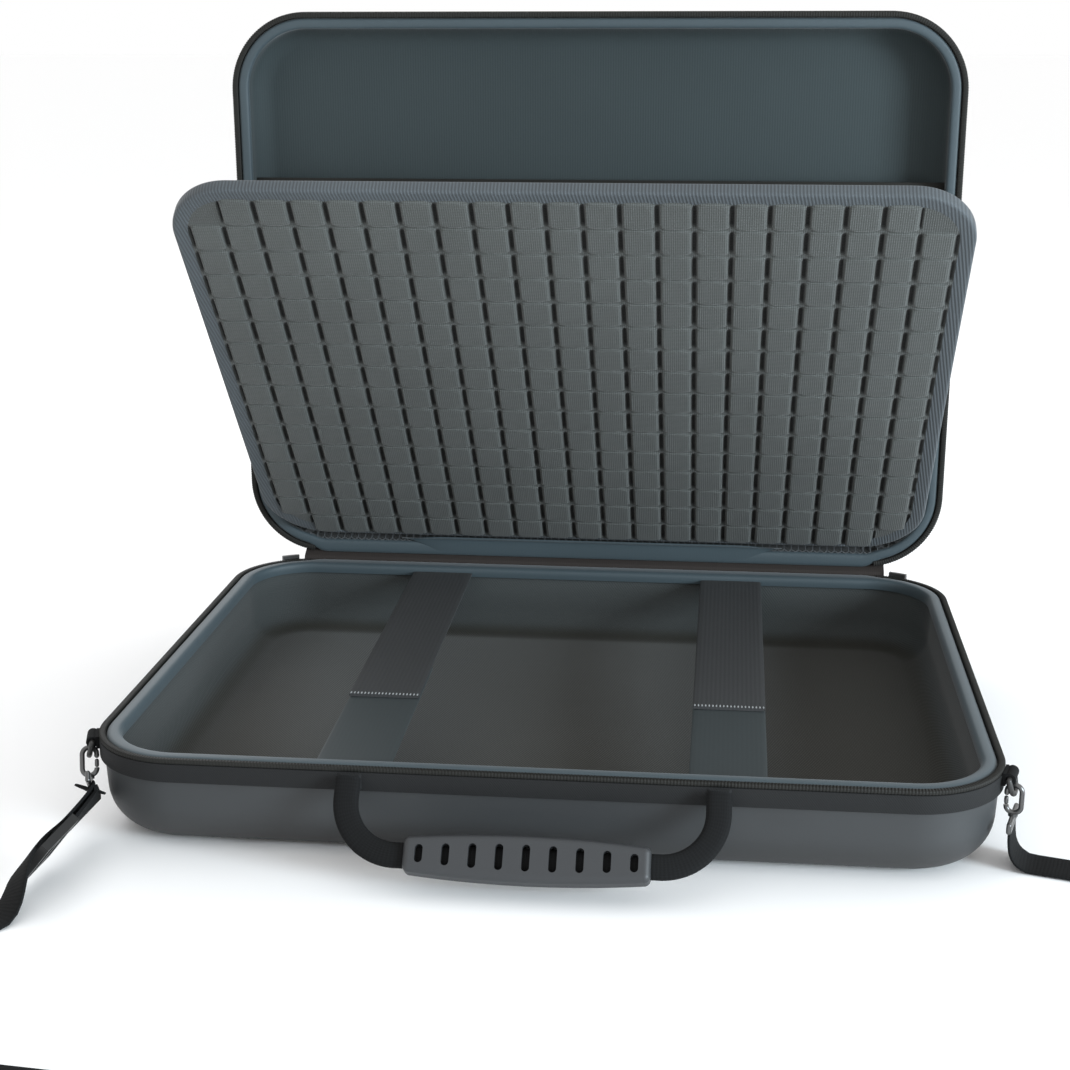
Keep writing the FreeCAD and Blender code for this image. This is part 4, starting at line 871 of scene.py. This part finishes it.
def divider_edge():
    """The bound edge: a rounded fold carried round the panel, narrow under the lowest pads."""
    line = rim_line(DIVIDER_HALF_X, (DIVIDER_HIGH - DIVIDER_LOW) / 2,
                    [DIVIDER_HIGH_RADIUS, DIVIDER_LOW_RADIUS, DIVIDER_LOW_RADIUS, DIVIDER_HIGH_RADIUS],
                    EDGE_STEP)
    where = places_round(line)
    place, normal = along_rim(line, where)
    widening = smooth_step((np.abs(place[:, 0]) - BINDING_NARROW_HALF) / BINDING_NARROW_TURN)
    low_width = BINDING_LOW_WIDTH + (BINDING_WIDTH - BINDING_LOW_WIDTH) * widening
    width = np.where(normal[:, 1] < BINDING_LOW_NORMAL, low_width, BINDING_WIDTH)
    profile = []
    thickness = DIVIDER_THICKNESS + BINDING_TOP
    for turn in np.radians(np.linspace(90, 270, 15)):
        level = signed_power(sin(turn), BINDING_SQUARENESS)
        profile.append((1 - abs(cos(turn)) ** BINDING_SLOPE, thickness / 2 * level))
    profile = np.array(profile)
    middle = BINDING_TOP - thickness / 2
    round_insets = profile[:, :1] * BINDING_ROUND * np.ones(len(where))[None]
    insets = np.concatenate([round_insets, width[None], width[None]])
    back = middle + thickness / 2 - BINDING_BACK_GAP
    heights = np.concatenate([profile[:, 1] + middle, [middle - thickness / 2, back]])
    grid = round_rim(line, insets, heights, where).transpose(1, 0, 2)
    grid[..., 1] += (DIVIDER_HIGH + DIVIDER_LOW) / 2
    return skin("divider_bound_edge", from_divider(grid), grid[..., :2], BINDING, wrap_rows=True,
                edge_angle=50)


def divider_rear():
    """The plain back cover: a flat slab inside the bound edge."""
    half_x = DIVIDER_HALF_X - BINDING_WIDTH + COVER_LAP
    half_y = (DIVIDER_HIGH - DIVIDER_LOW) / 2 - BINDING_LOW_WIDTH + COVER_LAP
    high_radius = DIVIDER_HIGH_RADIUS - COVER_CORNER_CUT
    low_radius = DIVIDER_LOW_RADIUS - COVER_CORNER_CUT
    line = rim_line(half_x, half_y, [high_radius, low_radius, low_radius, high_radius], RIM_STEP)
    where = places_round(line)
    insets = np.array([COVER_RING_INSET, COVER_ROUND, 0.0, 0.0, COVER_ROUND, COVER_RING_INSET])
    low = -DIVIDER_THICKNESS + COVER_BACK_GAP
    high = -PAD_HEIGHT - COVER_FRONT_GAP
    heights = np.array([low, low, low + COVER_ROUND, high - COVER_ROUND, high, high])
    grid = round_rim(line, insets, heights, where)
    grid[..., 1] += (DIVIDER_HIGH + DIVIDER_LOW) / 2
    return skin("divider_rear_cover", from_divider(grid), grid[..., :2], BACK, edge_angle=50)


front = divider_front()
edge = divider_edge()
rear = divider_rear()
for thing in (front, edge, rear):
    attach(thing, "divider")
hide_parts("divider_pads", "divider_core")
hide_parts("divider_binding")
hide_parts("divider_back")

flap_outline = thick_line(smooth_line(FLAP_POINTS, FLAP_STEP), FLAP_THICKNESS)
flap_xs = np.linspace(-FLAP_HALF, FLAP_HALF, 61)
taper = smooth_step((FLAP_HALF - np.abs(flap_xs)) / FLAP_TAPER)
flap_grid = np.empty((len(flap_xs), len(flap_outline), 3))
flap_grid[..., 0] = flap_xs[:, None]
flap_shares = FLAP_END_SHARE + (1 - FLAP_END_SHARE) * taper
flap_grid[..., 1] = FLAP_AXIS + (flap_outline[None, :, 0] - FLAP_AXIS) * flap_shares[:, None]
flap_grid[..., 2] = flap_outline[None, :, 1] + FLAP_END_SINK * (1 - taper[:, None])
flap = skin("divider_flap_cloth", from_hinge(flap_grid), flap_grid[..., :2], LIP, edge_angle=50)
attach(flap, "lid")
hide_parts("divider_flap")


# Net pocket
def net():
    """A honeycomb of strands over the pocket: each cell keeps a six-sided hole inside its six-sided outline.

    The sheet sags by a half sine each way and comes forward by a smooth step of the distance from the lip.
    """
    pitch_y = NET_PITCH * 3 ** 0.5 / 2
    half_x = CASE_HALF_X - NET_INSET
    count_x = int(2 * half_x / NET_PITCH) + 2
    count_y = int((NET_HIGH - NET_LOW) / pitch_y) + 1
    i, j = np.meshgrid(np.arange(count_x), np.arange(count_y))
    cx = (-half_x + (i + 0.5 * (j % 2)) * NET_PITCH).ravel()
    cy = (NET_LOW + j * pitch_y).ravel()
    low = NET_LOW - NET_PITCH / 2
    inside_x, inside_y = inside_outline(cx, cy, half_x, low, 2 * NET_HIGH, CORNER_RADIUS - NET_INSET,
                                        CORNER_RADIUS)
    side = CASE_HALF_X - LINING_INSET - NET_PITCH / 2
    side = side + (half_x - side) * (1 - smooth_step((cy - low) / CORNER_RADIUS))
    keep = np.isclose(inside_x, cx) & np.isclose(inside_y, cy)
    keep = keep & (cy < NET_HIGH + NET_PITCH / 8) & (np.abs(cx) < side)
    cx = cx[keep]
    cy = cy[keep]
    turn = np.radians(np.arange(6) * 60 + 30)
    outer = NET_PITCH / 3 ** 0.5
    inner = outer - NET_STRAND
    rings = []
    for radius, level in ((outer, -0.5), (inner, -0.5), (inner, 0.5), (outer, 0.5)):
        x = cx[:, None] + radius * np.cos(turn)
        y = cy[:, None] + radius * np.sin(turn)
        rings.append(np.stack([x, y, np.full_like(x, level * NET_THICKNESS)], -1))
    points = np.stack(rings, 1)
    x = points[..., 0]
    y = points[..., 1]
    straight = CASE_HALF_X - CORNER_RADIUS
    bend_y = HINGE_Y - CASE_HALF_Y + CORNER_RADIUS
    in_corner = (np.abs(x) > straight) & (y < bend_y)
    around = CORNER_RADIUS - np.hypot(np.maximum(np.abs(x) - straight, 0), bend_y - y)
    inset = np.where(in_corner, around, np.minimum(y - HINGE_Y + CASE_HALF_Y, NET_HIGH))
    forward = NET_LIFT * (1 - smooth_step((inset - NET_LIFT_START) / NET_LIFT_REACH))
    forward = forward * (1 - smooth_step((y - bend_y) / CORNER_RADIUS))
    up_share = np.clip((y - NET_LOW) / (NET_HIGH - NET_LOW), 0, 1)
    sag = NET_SAG * np.sin(up_share * pi) * np.cos(x * pi / (2 * half_x))
    points[..., 2] += NET_DEPTH + sag - forward
    cells = len(cx)
    base = (np.arange(cells) * 24)[:, None, None]
    ring = np.arange(3)[None, :, None] * 6
    corner = np.arange(6)[None, None, :]
    after = (corner + 1) % 6
    faces = np.stack(np.broadcast_arrays(base + ring + corner, base + ring + after, base + ring + 6 + after,
                                         base + ring + 6 + corner), -1).reshape(-1, 4)
    flat = points.reshape(-1, 3)
    return make_object("pocket_net", from_hinge(flat), faces.tolist(), flat[:, :2], NET, 30)


net_piece = net()
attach(net_piece, "lid")
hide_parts("mesh_pocket")

tape_low = POCKET_TAPE_LOW - POCKET_TAPE_LAP
tape_front = NET_DEPTH - POCKET_TAPE_FRONT
tape_back = NET_DEPTH + POCKET_TAPE_BACK
tape_section = np.array([(tape_low, tape_front), (POCKET_TAPE_HIGH, tape_front),
                         (POCKET_TAPE_HIGH, tape_back), (tape_low, tape_back)])
tape_half = CASE_HALF_X - LINING_INSET - POCKET_TAPE_SIDE_GAP
tape_xs = np.linspace(-tape_half, tape_half, 30)
pocket_tape = extruded("pocket_tape_band", tape_section, tape_xs, TEETH, from_hinge)
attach(pocket_tape, "lid")
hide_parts("pocket_zip_tape")


# Elastic straps
def strap_height(y):
    """Height of the straps' lower face: a straight line from the rear wall to the front wall."""
    return STRAP_REAR_Z + (STRAP_REACH_Y - y) / (2 * STRAP_REACH_Y) * (STRAP_FRONT_Z - STRAP_REAR_Z)


def strap_band(name, x_centre, y_from, y_to, lift, finish_used):
    """A flat elastic band with rounded edges, carried along the strap's line."""
    y = np.linspace(y_from, y_to, int((y_to - y_from) / STRAP_ROW_STEP) + 1)
    turn = np.linspace(0, tau, 28, endpoint=False)
    across = STRAP_HALF * signed_power(np.cos(turn), STRAP_SIDE_SQUARENESS)
    up = STRAP_THICKNESS / 2 * signed_power(np.sin(turn), STRAP_FACE_SQUARENESS)
    grid = np.empty((len(y), len(turn), 3))
    grid[..., 0] = x_centre + across[None]
    grid[..., 1] = y[:, None]
    grid[..., 2] = strap_height(y)[:, None] + lift + STRAP_THICKNESS / 2 + up[None]
    uv = cloth(y, across)[..., ::-1]
    return skin(name, grid, uv, finish_used, edge_angle=50)


def stitch_row(name, x_centre):
    """A row of short thread loops across the strap at the end of its upper half."""
    reach = STRAP_HALF - STITCH_MARGIN
    centres = x_centre + np.linspace(-reach, reach, STITCH_COUNT)
    turn = np.linspace(0, tau, 8, endpoint=False)
    ends = np.linspace(-STITCH_HALF, STITCH_HALF, 5)
    faces = []
    points = []
    height = strap_height(STRAP_STITCH_Y) + STRAP_LIFT + STRAP_THICKNESS
    for centre in centres:
        ring = np.empty((len(ends), len(turn), 3))
        size = STITCH_RADIUS * np.sqrt(1 - (ends / STITCH_TIP) ** 2)
        ring[..., 0] = centre + size[:, None] * np.cos(turn)[None]
        ring[..., 1] = STRAP_STITCH_Y + STITCH_HALF + ends[:, None]
        ring[..., 2] = height + STITCH_RISE + STITCH_FLAT_SHARE * size[:, None] * np.sin(turn)[None]
        start = sum(len(part) for part in points)
        grid_faces = quads(len(ends), len(turn), False)[:, ::-1] + start
        last = start + (len(ends) - 1) * len(turn)
        faces += grid_faces.tolist()
        faces += [list(range(start + len(turn) - 1, start - 1, -1)), list(range(last, last + len(turn)))]
        points.append(ring.reshape(-1, 3))
    everything = np.concatenate(points)
    return make_object(name, everything, faces, everything[:, :2], STITCH, 60)


for side, x_centre in (("left", STRAP_LEFT_X), ("right", STRAP_RIGHT_X)):
    rear_half = strap_band("strap_rear_band_" + side, x_centre, STRAP_STITCH_Y, STRAP_REACH_Y, STRAP_LIFT,
                           ELASTIC_REAR)
    body = "strap_" + side
    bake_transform(rear_half)
    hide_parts("strap_rear_" + side, "strap_root_" + side)
    front_half = strap_band("strap_front_band_" + side, x_centre, -STRAP_REACH_Y, STRAP_FRONT_END_Y, 0.0,
                            ELASTIC_FRONT)
    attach(front_half, "case")
    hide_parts("strap_front_" + side)
    thread = stitch_row("strap_stitches_" + side, x_centre)
    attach(thread, body)


# Carrying handle
def swept(name, centres, across, through, section, finish_used, place):
    """A closed (across, through) section carried along centres by two directions at each."""
    grid = centres[:, None] + across[:, None] * section[None, :, :1]
    grid = grid + through[:, None] * section[None, :, 1:2]
    uv = cloth(run_along(centres), section[:, 0])[..., ::-1]
    return skin(name, place(grid), uv, finish_used, edge_angle=50)


def oval(half_width, half_thickness, squareness, count=24):
    """A flattened oval: cosine and sine raised to the squareness."""
    turn = np.linspace(0, tau, count, endpoint=False)
    x = half_width * signed_power(np.cos(turn), squareness)
    y = half_thickness * signed_power(np.sin(turn), squareness)
    return np.stack([x, y], -1)


def handle_webbing(side):
    """One end of the handle: down from the anchor, round a quarter bend, and into the grip."""
    bend_x = HANDLE_HALF_SPAN - WEBBING_BEND
    bend_y = HANDLE_REACH - WEBBING_BEND
    turn = np.linspace(0, pi / 2, 24)
    path = [(HANDLE_HALF_SPAN, WEBBING_TOP), (HANDLE_HALF_SPAN, bend_y * WEBBING_DOWN_SHARE)]
    path += [(bend_x + WEBBING_BEND * cos(t), bend_y + WEBBING_BEND * sin(t)) for t in turn]
    path += [(x, HANDLE_REACH) for x in np.linspace(bend_x, WEBBING_MIDDLE, 14)[1:]]
    path = np.array(path)
    centres = np.concatenate([path * [side, 1], np.zeros((len(path), 1))], -1)
    along = unit(np.gradient(centres, axis=0))
    through = np.repeat([[0.0, 0.0, 1.0]], len(centres), axis=0)
    across = np.cross(along, through)
    section = oval(WEBBING_HALF_WIDTH, WEBBING_HALF_THICKNESS, WEBBING_SQUARENESS)
    name = "handle_webbing_roll_" + ("left" if side < 0 else "right")
    return swept(name, centres, across, through, section, WEBBING, from_handle)


for side, word in ((-1, "left"), (1, "right")):
    webbing = handle_webbing(side)
    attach(webbing, "handle")
    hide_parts("handle_webbing_" + word)


def handle_patch(side):
    """The sewn patch behind one end of the handle: one less a high power of the distance from its middle."""
    share = np.linspace(-1, 1, 25)
    u, v = np.meshgrid(share, share)
    rise = PATCH_THICKNESS * (1 - np.maximum(np.abs(u), np.abs(v)) ** PATCH_FLATNESS)
    rise = rise * (1 - PATCH_CROWN_SHARE * (u ** 2 + v ** 2))
    centre_z = (PATCH_LOW + PATCH_HIGH) / 2
    half_z = (PATCH_HIGH - PATCH_LOW) / 2
    x = side * HANDLE_HALF_SPAN + PATCH_HALF_WIDTH * u
    front = np.stack([x, -CASE_HALF_Y - rise, centre_z + half_z * v], -1)
    back = np.stack([x, np.full_like(x, -CASE_HALF_Y + PATCH_SINK), centre_z + half_z * v], -1)
    points = np.concatenate([front.reshape(-1, 3), back.reshape(-1, 3)])
    index = np.arange(u.size).reshape(u.shape)
    sheet, border = sheet_faces(index)
    sides = np.stack([border, border + u.size, np.roll(border, -1) + u.size, np.roll(border, -1)], -1)
    faces = np.concatenate([sheet, sheet[:, ::-1] + u.size, sides])
    name = "handle_patch_" + ("left" if side < 0 else "right")
    return make_object(name, points, faces.tolist(), points[:, ::2], TAPE, 40)


for side, word in ((-1, "left"), (1, "right")):
    patch = handle_patch(side)
    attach(patch, "case")
    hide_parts("handle_anchor_" + word)


# Shoulder strap
def rounded_run(points, radii):
    """A polyline whose corners are replaced by quadratic curves that start one radius-worth before them."""
    points = np.array(points)
    made = [points[0]]
    for index in range(1, len(points) - 1):
        before = unit(points[index] - points[index - 1])
        after = unit(points[index + 1] - points[index])
        angle = np.arccos(np.clip(before @ after, -1, 1))
        reach = radii[index - 1] * np.tan(angle / 2)
        start = points[index] - before * reach
        end = points[index] + after * reach
        for t in np.linspace(0, 1, 8):
            made.append(start * (1 - t) ** 2 + 2 * points[index] * t * (1 - t) + end * t ** 2)
    made.append(points[-1])
    return np.array(made)


def shoulder_strap():
    """The whole strap as one ribbon: right hook, fall, run on the ground, adjuster, left hook."""
    ground = SHOULDER_THICKNESS / 2
    run = rounded_run(RUN_POINTS, RUN_BENDS)
    run = np.concatenate([run, np.full((len(run), 1), ground)], -1)
    right = np.array(RIGHT_EYE) - [0, 0, EYE_DROP]
    lead = right - [0, 0, EYE_LEAD]
    under = lead * [1, 1, 0] + [0, 0, ground]
    centres = [right, lead]
    for share in FALL_SHARES:
        first = lead * (1 - share) + under * share
        second = under * (1 - share) + run[0] * share
        centres.append(first * (1 - share) + second * share)
    widths = [np.array(RIGHT_ACROSS)] * len(centres)
    widths += list(np.cross(unit(np.gradient(run, axis=0)), [0, 0, 1.0]))
    centres += list(run)
    hanging = np.array(LEFT_HANGING)
    left = np.array(LEFT_EYE) + hanging * EYE_DROP
    left_lead = left + hanging * EYE_LEAD
    adjuster = np.array(LEFT_ADJUSTER)
    slope = unit(left_lead - adjuster)
    centres += [adjuster - slope * ADJUSTER_REACH, adjuster + slope * ADJUSTER_REACH, left_lead, left]
    widths += [np.array(LEFT_ADJUSTER_ACROSS)] * 2 + [np.array(LEFT_ACROSS)] * 2
    widths = np.array(widths)
    for index in range(1, len(widths)):
        if widths[index] @ widths[index - 1] < 0:
            widths[index] *= -1
    joined = smooth_line(np.concatenate([centres, widths * SHOULDER_HALF], -1), STRAP_STEP)
    centres = joined[:, :3]
    widths = joined[:, 3:]
    centres[:, 2] = np.maximum(centres[:, 2], ground)
    along = unit(np.gradient(centres, axis=0))
    widths = unit(widths - along * np.sum(widths * along, axis=1, keepdims=True))
    through = np.cross(along, widths)
    section = oval(SHOULDER_HALF, SHOULDER_THICKNESS / 2, SHOULDER_SQUARENESS, 20)
    return swept("shoulder_strap_band", centres, widths, through, section, WEBBING, as_is)


strap = shoulder_strap()
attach(strap, "case")
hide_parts("shoulder_strap_left", "shoulder_strap_run", "shoulder_strap_right")

# Finishes of the pieces carried over from the CAD
FINISHES = {
    "hinge_tab_": TAB, "handle_grip": GRIP, "zip_slider_": FITTING, "zip_pull_": PULLER,
    "ring_tab_": WEBBING, "d_ring_": FITTING, "snap_hook_": METAL, "hook_eye_": METAL, "hook_gate_": METAL,
    "strap_adjuster": FITTING, "shoulder_strap_return": WEBBING, "pocket_slider": FITTING,
    "pocket_pull": PULLER, "pocket_zip_teeth": TEETH}
for start, used in FINISHES.items():
    for name, node in nodes.items():
        if name.startswith(start) and node.type == "MESH":
            node.data.materials.clear()
            node.data.materials.append(used)
            node.data.shade_smooth()
            node.data.set_sharp_from_angle(angle=radians(30))


# Stage: floor, lights and camera, with places in metres and angles in degrees
FLOOR_HALF_X = 15.0
FLOOR_NEAR_Y = -6.0
FLOOR_FAR_Y = 24.0
FLOOR_Z = -0.0005
KEY_PLACE = (1.8, -1.1, 0.5)
KEY_TARGET = (0, 0, 0.12)
KEY_SIZE = 0.7
BACK_PLACE = (-0.9, 1.5, 1.3)
BACK_TARGET = (0, 0, 0.1)
BACK_SIZE = 1.0
CAMERA_PLACE = (0.08157, -0.91444, 0.37246)
CAMERA_HEADING = 6.121
CAMERA_TILT = 74.245
CAMERA_ROLL = -0.064
CAMERA_LENS = 60.72
CAMERA_SENSOR = 36.0
CAMERA_FAR = 50.0


def plain(name, colour, rough):
    """A plain finish for the floor."""
    made = bpy.data.materials.new(name)
    made.use_nodes = True
    shader = made.node_tree.nodes["Principled BSDF"]
    shader.inputs["Base Color"].default_value = (*colour, 1.0)
    shader.inputs["Roughness"].default_value = rough
    return made


mesh = bpy.data.meshes.new("floor")
floor_corners = [(-FLOOR_HALF_X, FLOOR_NEAR_Y, FLOOR_Z), (FLOOR_HALF_X, FLOOR_NEAR_Y, FLOOR_Z),
                 (FLOOR_HALF_X, FLOOR_FAR_Y, FLOOR_Z), (-FLOOR_HALF_X, FLOOR_FAR_Y, FLOOR_Z)]
mesh.from_pydata(floor_corners, [], [(0, 1, 2, 3)])
mesh.materials.append(plain("floor", (0.99, 0.99, 0.99), 0.9))
floor = bpy.data.objects.new("floor", mesh)
bpy.context.scene.collection.objects.link(floor)


def area_light(name, place, target, size, power, colour):
    """A square soft light aimed at a point."""
    data = bpy.data.lights.new(name, "AREA")
    data.size = size
    data.energy = power
    data.color = colour
    lamp = bpy.data.objects.new(name, data)
    lamp.location = place
    lamp.rotation_euler = (Vector(target) - Vector(place)).to_track_quat("-Z", "Y").to_euler()
    bpy.context.scene.collection.objects.link(lamp)
    return lamp


lights = [
    area_light("key", KEY_PLACE, KEY_TARGET, KEY_SIZE, 55, (0.80, 0.92, 1.0)),
    area_light("back", BACK_PLACE, BACK_TARGET, BACK_SIZE, 10, (0.95, 0.97, 1.0)),
]
world = bpy.data.worlds.new("studio")
world.use_nodes = True
background = world.node_tree.nodes["Background"]
background.inputs["Color"].default_value = (1.0, 1.0, 1.0, 1.0)
background.inputs["Strength"].default_value = 1.0
bpy.context.scene.world = world

camera_data = bpy.data.cameras.new("camera")
camera_data.lens = CAMERA_LENS
camera_data.sensor_width = CAMERA_SENSOR
camera_data.clip_end = CAMERA_FAR
camera = bpy.data.objects.new("camera", camera_data)
look = Matrix.Rotation(radians(CAMERA_HEADING), 4, "Z") @ Matrix.Rotation(radians(CAMERA_TILT), 4, "X")
roll = Matrix.Rotation(radians(CAMERA_ROLL), 4, "Z")
camera.matrix_world = Matrix.Translation(CAMERA_PLACE) @ look @ roll
bpy.context.scene.collection.objects.link(camera)
bpy.context.scene.camera = camera
bpy.context.scene.view_settings.view_transform = "Standard"
